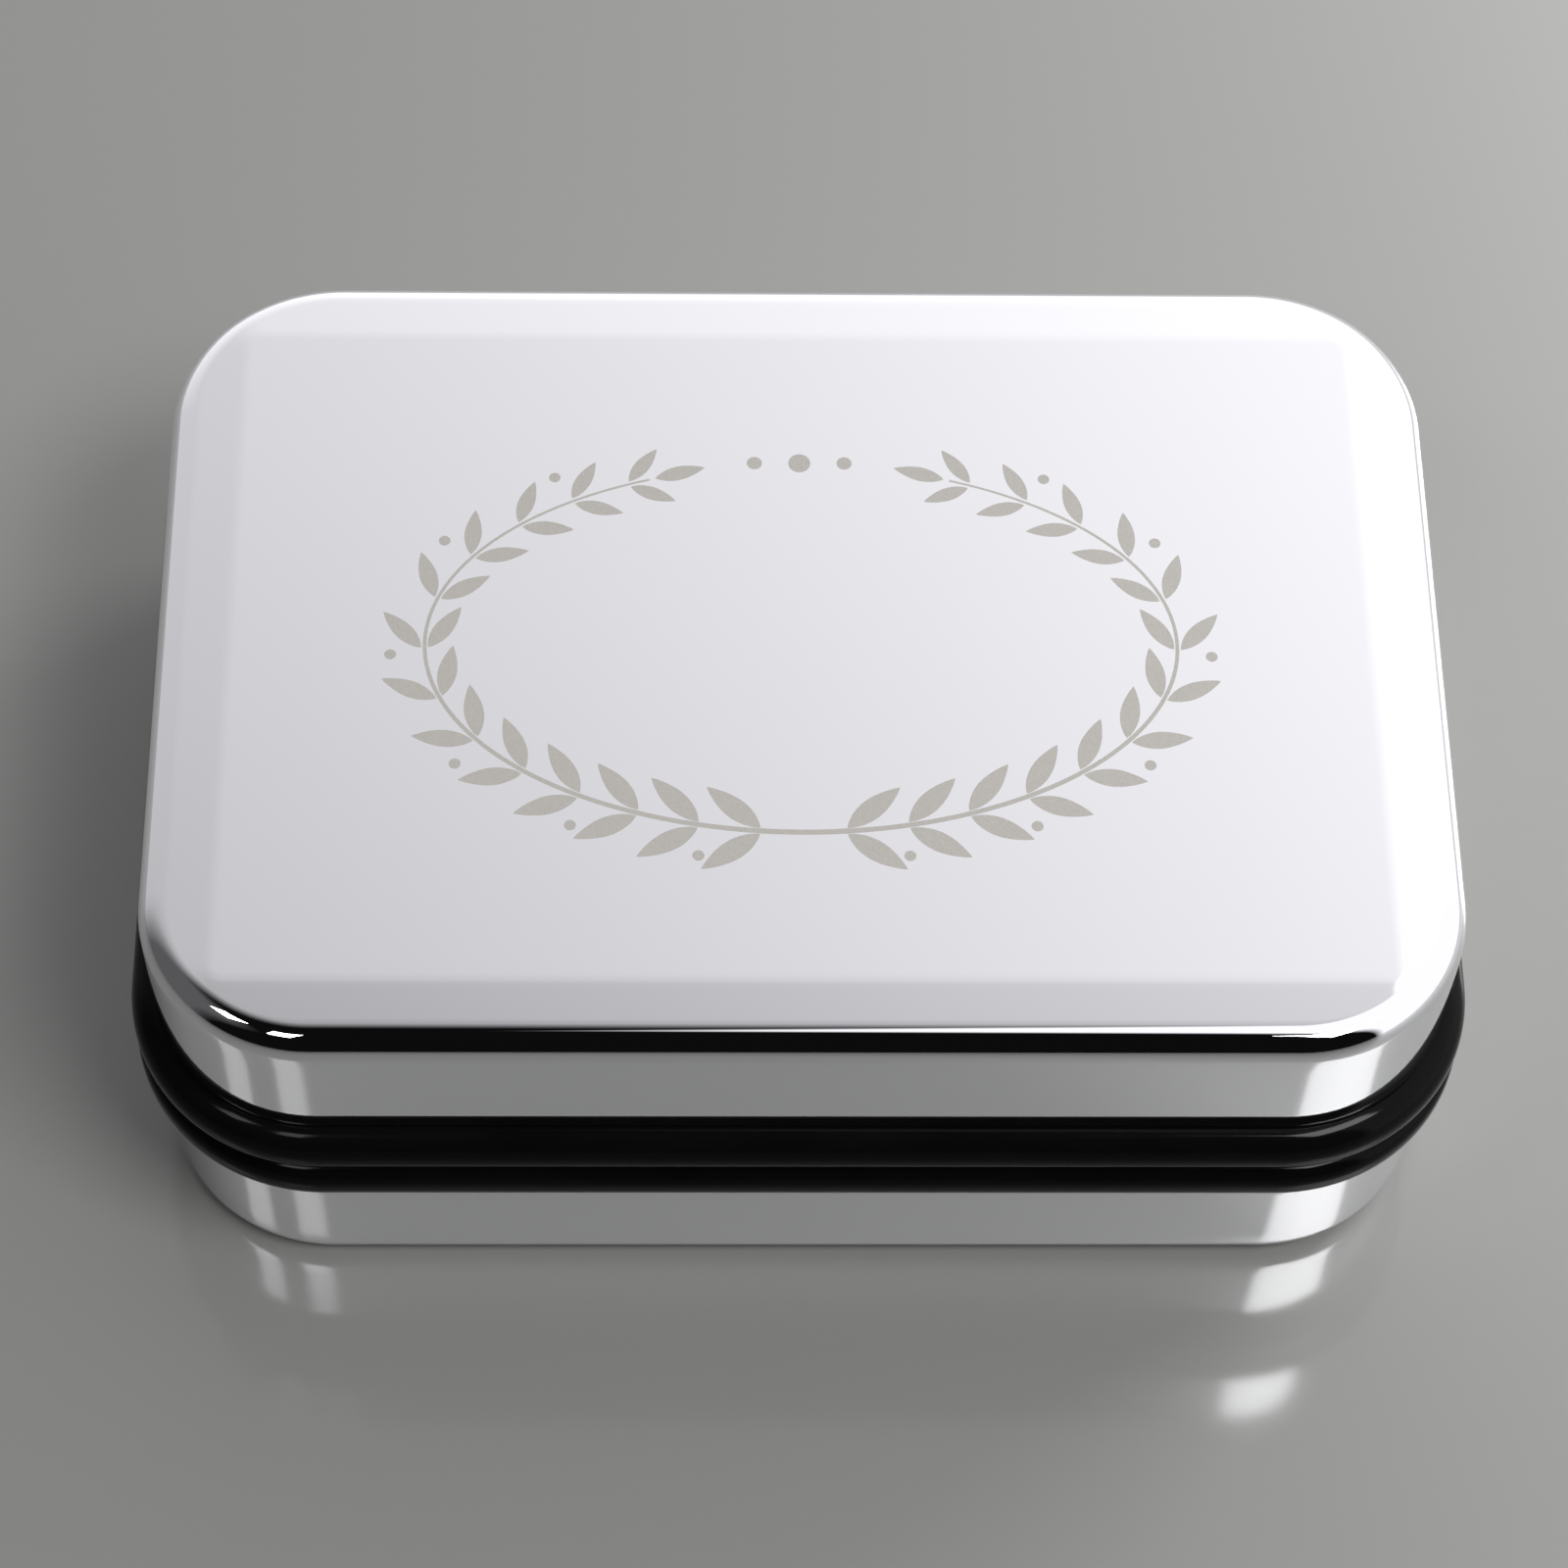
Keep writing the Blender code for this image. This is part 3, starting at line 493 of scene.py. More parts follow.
def soft_foam(finishes):
    """Open foam: small pores, with painted shade darkening inside them."""
    made, tree, shader, spot = finish_of("pad_foam", Roughness=0.95)
    sockets = {"Vector": spot, "Scale": 2300.0}
    pores_and_shade = step_node(tree, "ShaderNodeTexVoronoi", sockets=sockets).outputs["Distance"]
    # painted shade: the colour darkens towards each pore's middle, where the bump dips
    tint(tree, shader, pores_and_shade, finishes.foam, low=0.55, high=1.1)
    raise_bumps(tree, shader, pores_and_shade, distance=0.0001)
    return made


def black_velvet(finishes):
    """Velvet: short pile that catches light at grazing angles, laid differently from patch to patch."""
    settings = {"Roughness": 0.85, "Sheen Weight": 0.55, "Sheen Roughness": 0.42, "Specular IOR Level": 0.2}
    made, tree, shader, spot = finish_of("black_velvet", **settings)
    shader.inputs["Sheen Tint"].default_value = (0.34, 0.34, 0.37, 1.0)
    pile = noise(tree, spot, 5200.0)
    lay = noise(tree, stretched(tree, spot, (1.0, 0.6, 1.0)), 75.0, 3.0)
    tint(tree, shader, lay, finishes.velvet, low=0.6, high=2.0)
    soft = raise_bumps(tree, shader, lay, distance=0.0004)
    raise_bumps(tree, shader, pile, distance=0.00009, normal=soft)
    return made


def black_satin(finishes):
    """Satin: fine threads along X over threads along Y, with the soft gloss of long floats."""
    settings = {"Sheen Weight": 0.25, "Sheen Roughness": 0.3, "Specular IOR Level": 0.6}
    made, tree, shader, spot = finish_of("black_satin", **settings)
    shader.inputs["Sheen Tint"].default_value = (0.5, 0.5, 0.55, 1.0)
    floats, weft = (
        step_node(
            tree,
            "ShaderNodeTexWave",
            bands_direction=direction,
            sockets={"Vector": spot, "Scale": scale, "Distortion": distortion},
        ).outputs["Fac"]
        for direction, scale, distortion in (("Y", 1150.0, 1.2), ("X", 520.0, 0.8))
    )
    sockets = {0: weft, 1: 0.35, 2: floats}
    cloth = step_node(tree, "ShaderNodeMath", operation="MULTIPLY_ADD", sockets=sockets).outputs[0]
    slub = noise(tree, stretched(tree, spot, (0.1, 1.0, 1.0)), 900.0)
    tint(tree, shader, slub, finishes.satin, low=0.7, high=1.5)
    gloss(tree, shader, slub, low=0.34, high=0.50)
    raise_bumps(tree, shader, cloth, distance=0.000028)
    return made


MAKERS = {
    "mirror_plate": polished_plate,
    "laser_mark": laser_mark,
    "black_moulding": black_moulding,
    "hinge_steel": plated_steel,
    "grey_card": grey_card,
    "pad_foam": soft_foam,
    "black_velvet": black_velvet,
    "black_satin": black_satin,
}


def finish(name):
    """The named finish, made the first time that it is asked for."""
    return bpy.data.materials.get(FINISH_PREFIX + name) or MAKERS[name](bpy.context.scene.box_finish)


def crease_loop(offset):
    """The crease's plan outline, moved outwards by offset."""
    sizes = bpy.context.scene.box_shell
    half_x = sizes.width / 2 - sizes.margin + offset
    half_y = sizes.depth / 2 - sizes.margin + offset
    return rounded_loop(half_x, half_y, sizes.crease + offset)[0]


def panel_fall(points):
    """How far the shell's top lies under its flat panel.

    Let d be the distance outside the crease's rounded rectangle. The fall is 0 below -w, then
    tan(slope) * (d + w)^2 / 4w up to w, then tan(slope) * d.
    """
    sizes = bpy.context.scene.box_shell
    reach = np.abs(points) - (
        sizes.width / 2 - sizes.margin - sizes.crease,
        sizes.depth / 2 - sizes.margin - sizes.crease,
    )
    d = np.hypot(*np.maximum(reach, 0).T) + np.minimum(reach.max(1), 0) - sizes.crease
    w = sizes.blend
    return math.tan(sizes.slope) * np.where(d > w, d, np.where(d < -w, 0, (d + w) ** 2 / (4 * w)))


def shell_rings():
    """Rings of one shell, from its panel over the border, edge and wall, and back up inside.

    The edge is a circular arc in each upright plane across the outline. Its tilt runs from the border's own
    slope there to upright, and its height keeps it tangent to the border.
    """
    sizes = bpy.context.scene.box_shell
    top = LID_HIGH.z - PARTING
    rim = LID_LOW.z - PARTING
    outline, normals = rounded_loop(sizes.width / 2, sizes.depth / 2, sizes.corner)
    rings = []
    flat_ring = -sizes.blend - 0.0003
    for offset in (flat_ring, *np.linspace(-sizes.blend, sizes.blend, 7)):
        loop = crease_loop(offset)
        rings.append(heights(loop, top - panel_fall(loop)))
    last = loop
    rim_of_border = outline - normals * sizes.edge * (1 - math.sin(sizes.slope))
    probe = 0.0001
    drop = panel_fall(rim_of_border + normals * probe) - panel_fall(rim_of_border - normals * probe)
    tilt = np.arctan(drop / (2 * probe))
    tangent = outline - normals * (sizes.edge * (1 - np.sin(tilt)))[:, None]
    for share in np.linspace(0, 1, 9)[1:-1]:
        loop = last + (tangent - last) * share
        rings.append(heights(loop, top - panel_fall(loop)))
    centre = top - panel_fall(tangent) - sizes.edge * np.cos(tilt)
    for share in np.linspace(0, 1, 19):
        turn = tilt + (math.pi / 2 - tilt) * share
        loop = outline - normals * (sizes.edge * (1 - np.sin(turn)))[:, None]
        rings.append(heights(loop, centre + sizes.edge * np.cos(turn)))
    lip = sizes.sheet / 4
    for share in np.linspace(0, 1, 7)[1:]:
        rings.append(heights(outline, centre + (rim + lip - centre) * share))
    for turn in (math.pi / 4, math.pi / 2):
        loop = outline - normals * lip * (1 - math.cos(turn))
        rings.append(heights(loop, rim + lip * (1 - math.sin(turn))))
    inner = outline - normals * sizes.sheet
    rings.append(heights(inner, rim))
    hollow = sizes.edge - sizes.sheet
    for turn in np.linspace(math.pi / 2, 0, 7):
        loop = inner - normals * hollow * (1 - math.sin(turn))
        rings.append(heights(loop, centre + hollow * math.cos(turn)))
    loop = crease_loop(-sizes.blend)
    rings.append(heights(loop, top - sizes.sheet - panel_fall(loop)))
    return rings


def wreath_marks():
    """Closed outlines of a leaf wreath, on the lid's panel.

    Two branches follow an ellipse from near the bottom to near the top. Leaves stand in pairs at even steps,
    turned outwards and inwards, and shrink towards the top. A leaf's half width a share t along it is
    w * sin(pi t)^0.8 * (1.15 - 0.35 t). Berries stand outside every second pair, and a row of dots fills the
    gap at the top.
    """
    sizes = bpy.context.scene.box_engraving
    marks = []
    along = np.linspace(0.0, 1.0, 15)
    half = sizes.leaf_width / 2 * np.sin(np.pi * along) ** 0.8 * (1.15 - 0.35 * along)
    leaf = np.concatenate([np.column_stack([along, half]), np.column_stack([along, -half])[::-1][1:-1]])
    leaf[:, 0] *= sizes.leaf
    ring = np.linspace(0, 2 * np.pi, 14, endpoint=False)
    dot = np.column_stack([np.cos(ring), np.sin(ring)])
    steps = 70
    angle = np.linspace(math.radians(-97), math.radians(66), steps)
    berry_turn = math.radians(-92)
    for side in (-1, 1):
        path = np.column_stack([np.cos(angle) * sizes.half_width, np.sin(angle) * sizes.half_depth])
        ahead = np.gradient(path, axis=0)
        ahead /= np.linalg.norm(ahead, axis=1)[:, None]
        across = np.column_stack([-ahead[:, 1], ahead[:, 0]])
        taper = (sizes.stem / 2 * (1 - 0.6 * np.linspace(0, 1, steps)))[:, None]
        stem = np.concatenate([path + across * taper, (path - across * taper)[::-1]])
        marks.append(stem * (side, 1))
        reach = np.concatenate([[0], np.cumsum(np.linalg.norm(np.diff(path, axis=0), axis=1))])
        stations = np.linspace(0.10, 0.97, sizes.pairs) * reach[-1]
        for k, station in enumerate(stations):
            spot = np.array([np.interp(station, reach, path[:, axis]) for axis in (0, 1)])
            heading = np.array([np.interp(station, reach, ahead[:, axis]) for axis in (0, 1)])
            facing = math.atan2(heading[1], heading[0])
            size = 1.0 - 0.30 * k / (sizes.pairs - 1)
            for lean in (math.radians(38), math.radians(-38)):
                c, s = math.cos(facing + lean), math.sin(facing + lean)
                turned = leaf * size @ np.array([(c, s), (-s, c)])
                marks.append((turned + spot + np.array([c, s]) * sizes.stem * 0.9) * (side, 1))
            if k % 2 and k < sizes.pairs - 1:
                c, s = math.cos(facing + berry_turn), math.sin(facing + berry_turn)
                marks.append((dot * BERRY_RADIUS + spot + np.array([c, s]) * BERRY_REACH) * (side, 1))
        tip = path[-1] + ahead[-1] * TIP_REACH
        c, s = ahead[-1]
        marks.append((leaf * 0.75 @ np.array([(c, s), (-s, c)]) + tip) * (side, 1))
    for x in (-DOT_SPACING, 0.0, DOT_SPACING):
        marks.append(dot * (DOT_RADIUS if x else MIDDLE_DOT_RADIUS) + (x, sizes.half_depth * 1.01))
    return marks


def anticlockwise(outline):
    """The outline, turned round where its enclosed area, summed over its edges, comes out negative."""
    following = np.roll(outline, -1, 0)
    area = np.sum(outline[:, 0] * following[:, 1] - outline[:, 1] * following[:, 0])
    return outline if area > 0 else outline[::-1]


def marked_panel(loop, level, marks):
    """Triangles of the flat panel inside the loop, and which of them lie in a mark."""
    outlines = [anticlockwise(outline) for outline in (loop, *marks)]
    counts = np.cumsum([0] + [len(outline) for outline in outlines])
    corners = [Vector(point) for outline in outlines for point in outline]
    faces = [list(range(counts[i], counts[i + 1])) for i in range(len(outlines))]
    points, _, triangles, _, _, owners = delaunay_2d_cdt(corners, [], faces, 1, 1e-7)
    kept = [(face, max(owner) > 0) for face, owner in zip(triangles, owners) if owner]
    flat = np.array([(point.x, point.y, level) for point in points])
    return flat, [face for face, _ in kept], np.array([mark for _, mark in kept])


def rim_loop(corners, in_lid, name):
    """A section of (outward, height) points carried round the shell's outline along its normals."""
    sizes = bpy.context.scene.box_shell
    outline, normals = rounded_loop(sizes.width / 2, sizes.depth / 2, sizes.corner)
    section = filleted(corners)
    across = outline[None] + normals[None] * section[:, :1, None]
    level = np.broadcast_to(section[:, 1, None, None], (*across.shape[:2], 1))
    return grid_object(name, to_half(np.concatenate([across, level], -1), in_lid), wrap=True)


def hinge_seat(name, in_lid):
    """Cutters for a rim's rear wall: the barrel's groove, the straps' slot and the plate's pocket."""
    shell = bpy.context.scene.box_shell
    axis_y = frame["joints"][0]["pos_m"][1]
    rear = shell.depth / 2
    inside, outside = rear - SEAT_DEPTH, axis_y + SEAT_OVERRUN
    sign = 1 if in_lid else -1
    turn = np.linspace(0, 2 * np.pi, GROOVE_STEPS, endpoint=False)
    across, up = axis_y + GROOVE_RADIUS * np.cos(turn), PARTING + GROOVE_RADIUS * np.sin(turn)
    ring = np.column_stack([np.zeros(GROOVE_STEPS), across, up])
    half = (SEAT_HALF_WIDTH, 0, 0)
    groove = settle(grid_object(name + "_groove", [ring - half, ring + half]), [])

    def slot(label, width, back, height):
        levels = sorted((PARTING - sign * SEAT_START, PARTING + sign * height))
        return block(name + label, (-width, inside, levels[0]), (width, back, levels[1]))

    cutters = [
        groove,
        slot("_slot", SEAT_HALF_WIDTH, outside, STRAP_HEIGHT),
        slot("_pocket", SEAT_HALF_WIDTH, rear - POCKET_WALL, POCKET_HEIGHT),
    ]
    if not in_lid:
        cutters.append(slot("_spring", SPRING_HALF_WIDTH, outside, SPRING_HEIGHT))
    return cutters


def pad_loop(with_notch):
    """Points and outward normals of a pad's plan outline, with the finger notch in its front if asked.

    The notch is a circular bite. Fillets tangent to the front edge and to the bite join them. The outline's
    last points run along the front edge from left to right, so those right of the notch go round to the
    start, and the notch follows the rest.
    """
    shell = bpy.context.scene.box_shell
    sizes = bpy.context.scene.box_pad
    half_x, half_y = shell.width / 2 - sizes.inset, shell.depth / 2 - sizes.inset
    steps = 16
    points, normals = rounded_loop(half_x, half_y, shell.corner - sizes.inset, 24, steps)
    if not with_notch:
        return points, normals
    fillet, radius = sizes.notch_fillet, sizes.notch
    rise = fillet + sizes.overhang
    run = math.sqrt((radius + fillet) ** 2 - rise**2)
    lean = math.atan2(rise, run)
    bend = np.linspace(-np.pi / 2, -lean, 9)
    bite = np.linspace(np.pi - lean, lean, 41)[1:-1]
    left = np.column_stack([np.cos(bend), np.sin(bend)])
    inner = np.column_stack([np.cos(bite), np.sin(bite)])
    right = left[::-1] * (-1, 1)
    notch_points = np.concatenate(
        [
            left * fillet + (-run, -half_y + fillet),
            inner * radius + (0, -half_y - sizes.overhang),
            right * fillet + (run, -half_y + fillet),
        ]
    )
    notch_normals = np.concatenate([left, -inner, right])
    keep = ~((np.abs(points[:, 0]) < run + 0.001) & (points[:, 1] < 0))
    beyond = int(np.sum(keep[1 - steps :] & (points[1 - steps :, 0] > 0)))
    points, normals = np.roll(points[keep], beyond, 0), np.roll(normals[keep], beyond, 0)
    return np.concatenate([points, notch_points]), np.concatenate([normals, notch_normals])


def pad_rings(outline, normals, level, top, edge, crown, soften, wall=0.0):
    """Rings of a pad, from its foot over its rounded edge to its middle, or the same a wall further in.

    The side draws in by soften * sin(pi t) at a share t of its height. The top's rise over the edge at a
    point that is a share s of the way out to the outline without its notch is crown * (1 - s^2)^0.8, with low
    folds running in from the edge. At a distance d from a notch's bite it is 1 - exp(-(d / dip)^2) of that.
    """
    sizes = bpy.context.scene.box_pad
    radius = edge - wall
    rings = []
    for share in (0.0, 0.25, 0.5, 0.75):
        height = level + (top - edge - level) * share
        rings.append(heights(outline - normals * (wall + soften * math.sin(math.pi * share)), height))
    for turn in np.linspace(0, math.pi / 2, 9):
        loop = outline - normals * (wall + radius * (1 - math.cos(turn)))
        rings.append(heights(loop, top - wall - radius * (1 - math.sin(turn))))
    last = outline - normals * (wall + radius)
    front = last[:, 1].min()
    in_front = (np.abs(last[:, 0]) < sizes.notch + sizes.notch_fillet) & (last[:, 1] < 0)
    reach = np.where(in_front, last[:, 1] / front, 1.0)
    bite = np.array([0, outline[:, 1].min() - sizes.overhang])
    notched = reach.min() < 0.999
    for share in np.linspace(1, 0.02, 30)[1:]:
        loop = last * share
        waves = np.sin(FOLD_COUNT * np.arctan2(last[:, 1], last[:, 0]))
        folds = FOLD_SHARE * waves * share**6 * (1 - share) * 4
        rise = (1 - (share * reach) ** 2) ** 0.8 + folds
        if notched:
            away = np.maximum(np.linalg.norm(loop - bite, axis=1) - sizes.notch - wall - radius, 0)
            rise = rise * (1 - np.exp(-((away / NOTCH_DIP) ** 2)))
        rings.append(heights(loop, top - wall + crown * rise))
    return rings


def padded_cover(name, outline, normals, level, top, edge, crown, soften, wall):
    """A pad's cloth: its outside, and its inside one wall in, joined round the foot."""
    outside = pad_rings(outline, normals, level, top, edge, crown, soften)
    inside = pad_rings(outline, normals, level, top, edge, crown, soften, wall)
    return grid_object(name, outside[::-1] + inside)


def slot_cutter(name, long_side, short_side, spot, turn, low, high):
    """An upright slot with half round ends."""
    loop = rounded_loop(long_side / 2, short_side / 2, short_side / 2 * 0.98, 6, 3)[0]
    c, s = math.cos(turn), math.sin(turn)
    loop = loop @ np.array([(c, s), (-s, c)]) + spot
    return settle(grid_object(name, [heights(loop, low), heights(loop, high)]), [])


def slits(name, wall, low, high):
    """Cutters for the two chain slits, across the pad's rear corners."""
    shell = bpy.context.scene.box_shell
    sizes = bpy.context.scene.box_pad
    x = shell.width / 2 - sizes.inset - sizes.slit_inset
    y = shell.depth / 2 - sizes.inset - sizes.slit_inset
    long_side, short_side = sizes.slit + 2 * wall, sizes.slit_width + 2 * wall
    return [
        slot_cutter(f"{name}_{side}", long_side, short_side, (side * x, y), -side * math.pi / 4, low, high)
        for side in (-1, 1)
    ]


def dressed_copy(node, slot):
    """Puts a finished copy of a CAD node's mesh in its place, flat faces joined and curves smooth."""
    source = frame["nodes"][node]
    obj = bpy.data.objects.new(node + "_dressed", source.data.copy())
    obj.data.materials.clear()
    bpy.context.scene.collection.objects.link(obj)
    shape = bmesh.new()
    shape.from_mesh(obj.data)
    bmesh.ops.remove_doubles(shape, verts=shape.verts, dist=1e-6)
    bmesh.ops.dissolve_limit(shape, angle_limit=math.radians(0.5), verts=shape.verts, edges=shape.edges)
    shape.to_mesh(obj.data)
    shape.free()
    settle(obj, [finish(slot)])
    place(obj, source["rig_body"], slot, node)


class BOX_OT_shells(bpy.types.Operator):
    """Makes the two pressed, mirror-finished shells, with the leaf wreath marked on the lid"""

    bl_idname = "necklace_box.shells"
    bl_label = "Pressed shells"

    def execute(self, context):
        rings = shell_rings()
        plate = finish("mirror_plate")
        base = grid_object("base_shell_polished", to_half(rings, False))
        place(settle(base, [plate], sharp=40.0), "base", "mirror_plate", "base_shell")
        lid = grid_object("lid_shell_polished", to_half(rings, True), caps=(False, True))
        loop = rings[0][:, :2]
        points, faces, marked = marked_panel(loop, PARTING + rings[0][0, 2], wreath_marks())
        panel = new_object("lid_panel", points, faces)
        panel.data.materials.append(plate)
        panel.data.materials.append(finish("laser_mark"))
        panel.data.polygons.foreach_set("material_index", marked.astype(np.int32))
        lid.data.materials.append(plate)
        with context.temp_override(active_object=lid, selected_editable_objects=[lid, panel]):
            bpy.ops.object.join()
        settle(lid, [plate, finish("laser_mark")], sharp=40.0)
        place(lid, "lid", "mirror_plate", "lid_shell")
        return {"FINISHED"}


class BOX_OT_rims(bpy.types.Operator):
    """Makes the two moulded rims, with their beads, lip and rebate, and the hinge's seats"""

    bl_idname = "necklace_box.rims"
    bl_label = "Moulded rims"

    def execute(self, context):
        shell, sizes = context.scene.box_shell, context.scene.box_rim
        half_gap = sizes.gap / 2
        seat = shell.sheet + SEAT_GAP
        inside = seat + sizes.skirt
        top = half_gap + sizes.bead
        small = MOULDED_RADIUS
        lip = inside - sizes.lip_wall
        tongue = [(-inside, -sizes.lip, small), (-lip, -sizes.lip, small), (-lip, half_gap, 0)]
        rebate = [
            (-inside, sizes.lip + SEAT_GAP, small),
            (SEAT_GAP - lip, sizes.lip + SEAT_GAP, 0),
            (SEAT_GAP - lip, half_gap, small),
        ]
        beads = (
            ("base_frame", tongue, sizes.base_root, sizes.base_round, False),
            ("lid_frame", rebate, sizes.lid_root, sizes.lid_round, True),
        )
        for name, joint, root, parting, in_lid in beads:
            far = sizes.arc * sizes.proud / math.cos(root) * math.tan(math.pi / 4 + root / 2)
            body = [
                (sizes.proud, half_gap, parting),
                (sizes.proud, top - sizes.proud * math.tan(root), far),
                (0, top, 0),
                (-seat, top, 0),
                (-seat, top + sizes.skirt_height, small),
                (-inside, top + sizes.skirt_height, small),
            ]
            rim = rim_loop(joint + body, in_lid, name + "_moulded")
            settle(rim, [])
            cut_away(rim, hinge_seat(name, in_lid))
            settle(rim, [finish("black_moulding")], sharp=30.0)
            place(rim, "lid" if in_lid else "base", "black_moulding", name)
        return {"FINISHED"}


class BOX_OT_linings(bpy.types.Operator):
    """Makes the velvet lining strips inside both rims"""

    bl_idname = "necklace_box.linings"
    bl_label = "Velvet linings"

    def execute(self, context):
        sizes = context.scene.box_pad
        outer = sizes.inset - SEAT_GAP - sizes.lining
        inner = outer + sizes.lining
        for name, in_lid in (("base_lining", False), ("lid_lining", True)):
            low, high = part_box(name)
            near, far = sorted((abs(low.z - PARTING), abs(high.z - PARTING)))
            soft = sizes.lining * 0.45
            corners = [
                (-outer, near, soft),
                (-outer, far, soft),
                (-inner, far, soft),
                (-inner, near, soft),
            ]
            strip = rim_loop(corners, in_lid, name + "_velvet")
            settle(strip, [finish("black_velvet")], sharp=60.0)
            place(strip, "lid" if in_lid else "base", "black_velvet", name)
        return {"FINISHED"}


class BOX_OT_necklace_pad(bpy.types.Operator):
    """Makes the velvet necklace pad with its finger notch and chain slits, and the foam in it"""

    bl_idname = "necklace_box.necklace_pad"
    bl_label = "Necklace pad"

    def execute(self, context):
        sizes = context.scene.box_pad
        outline, normals = pad_loop(True)
        low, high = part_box("pad_cover")
        top = high.z - sizes.crown
        cover = padded_cover(
            "pad_cover_velvet",
            outline,
            normals,
            level=low.z,
            top=top,
            edge=sizes.edge,
            crown=sizes.crown,
            soften=COVER_SOFTEN,
            wall=sizes.cover,
        )
        settle(cover, [])
        cut_away(cover, slits("cover_slit", 0.0, low.z - CUT_OVERRUN, high.z + CUT_OVERRUN))
        settle(cover, [finish("black_velvet")], sharp=50.0)
        place(cover, "base", "black_velvet", "pad_cover")
        self.add_foam(sizes, outline, normals)
        return {"FINISHED"}

    def add_foam(self, sizes, outline, normals):
        gap = sizes.cover + SEAT_GAP
        low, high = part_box("pad_foam")
        top = high.z - sizes.crown
        loop = outline - normals * gap
        rings = pad_rings(loop, normals, low.z, top, sizes.edge - gap, sizes.crown, FOAM_SOFTEN)
        foam = settle(grid_object("pad_foam_block", rings), [])
        cut_away(foam, slits("foam_slit", gap, low.z - CUT_OVERRUN, high.z + CUT_OVERRUN))
        settle(foam, [finish("pad_foam")], sharp=50.0)
        place(foam, "base", "pad_foam", "pad_foam")


class BOX_OT_lid_pad(bpy.types.Operator):
    """Makes the satin pad under the lid, crown down, and the foam in it"""

    bl_idname = "necklace_box.lid_pad"
    bl_label = "Lid pad"

    def execute(self, context):
        sizes = context.scene.box_pad
        outline, normals = pad_loop(False)
        crown = sizes.lid_crown
        low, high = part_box("lid_cover")
        height = high.z - low.z - crown
        cover = padded_cover(
            "lid_cover_satin",
            outline,
            normals,
            level=0.0,
            top=height,
            edge=sizes.lid_edge,
            crown=crown,
            soften=COVER_SOFTEN,
            wall=sizes.cover,
        )
        self.hang(cover, high.z, "black_satin", "lid_cover")
        gap = sizes.cover + SEAT_GAP
        low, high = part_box("lid_foam")
        height = high.z - low.z - crown
        loop = outline - normals * gap
        rings = pad_rings(loop, normals, 0.0, height, sizes.lid_edge - gap, crown, FOAM_SOFTEN)
        self.hang(grid_object("lid_foam_block", rings), high.z, "pad_foam", "lid_foam")
        return {"FINISHED"}

    def hang(self, pad, level, slot, node):
        """Turns a pad over, puts its foot at the level and finishes it."""
        pad.data.transform(Matrix.Translation((0, 0, level)) @ Matrix.Rotation(math.pi, 4, "Y"))
        settle(pad, [finish(slot)], sharp=50.0)
        place(pad, "lid", slot, node)


class BOX_OT_cards(bpy.types.Operator):
    """Gives the card floor, riser and boards their finish"""

    bl_idname = "necklace_box.cards"
    bl_label = "Card pieces"

    def execute(self, context):
        for node in ("floor_card", "pad_riser", "pad_board", "lid_board"):
            dressed_copy(node, "grey_card")
        return {"FINISHED"}


class BOX_OT_hinge(bpy.types.Operator):
    """Gives the hinge's leaves, pin, spring, rivet and screws their finish"""

    bl_idname = "necklace_box.hinge"
    bl_label = "Sprung hinge"

    def execute(self, context):
        workings = ("base_hinge_leaf", "lid_hinge_leaf", "hinge_spring", "hinge_pin", "spring_rivet")
        screws = ("base_screw_left", "base_screw_right", "lid_screw_left", "lid_screw_right")
        for node in workings + screws:
            dressed_copy(node, "hinge_steel")
        return {"FINISHED"}


def area_lamp(name, anchor, azimuth, elevation, size, radiance, distance):
    """A softbox that faces an anchor point. Its direction's azimuth turns from +Y towards +X."""
    a, e = math.radians(azimuth), math.radians(elevation)
    away = Vector((math.sin(a) * math.cos(e), math.cos(a) * math.cos(e), math.sin(e)))
    lamp = bpy.data.lights.new(name, "AREA")
    lamp.shape = "RECTANGLE"
    lamp.size, lamp.size_y = size
    lamp.energy = radiance * math.pi * size[0] * size[1]
    obj = bpy.data.objects.new(name, lamp)
    obj.location = Vector(anchor) + away * distance
    obj.rotation_euler = away.to_track_quat("Z", "Y").to_euler()
    bpy.context.scene.collection.objects.link(obj)


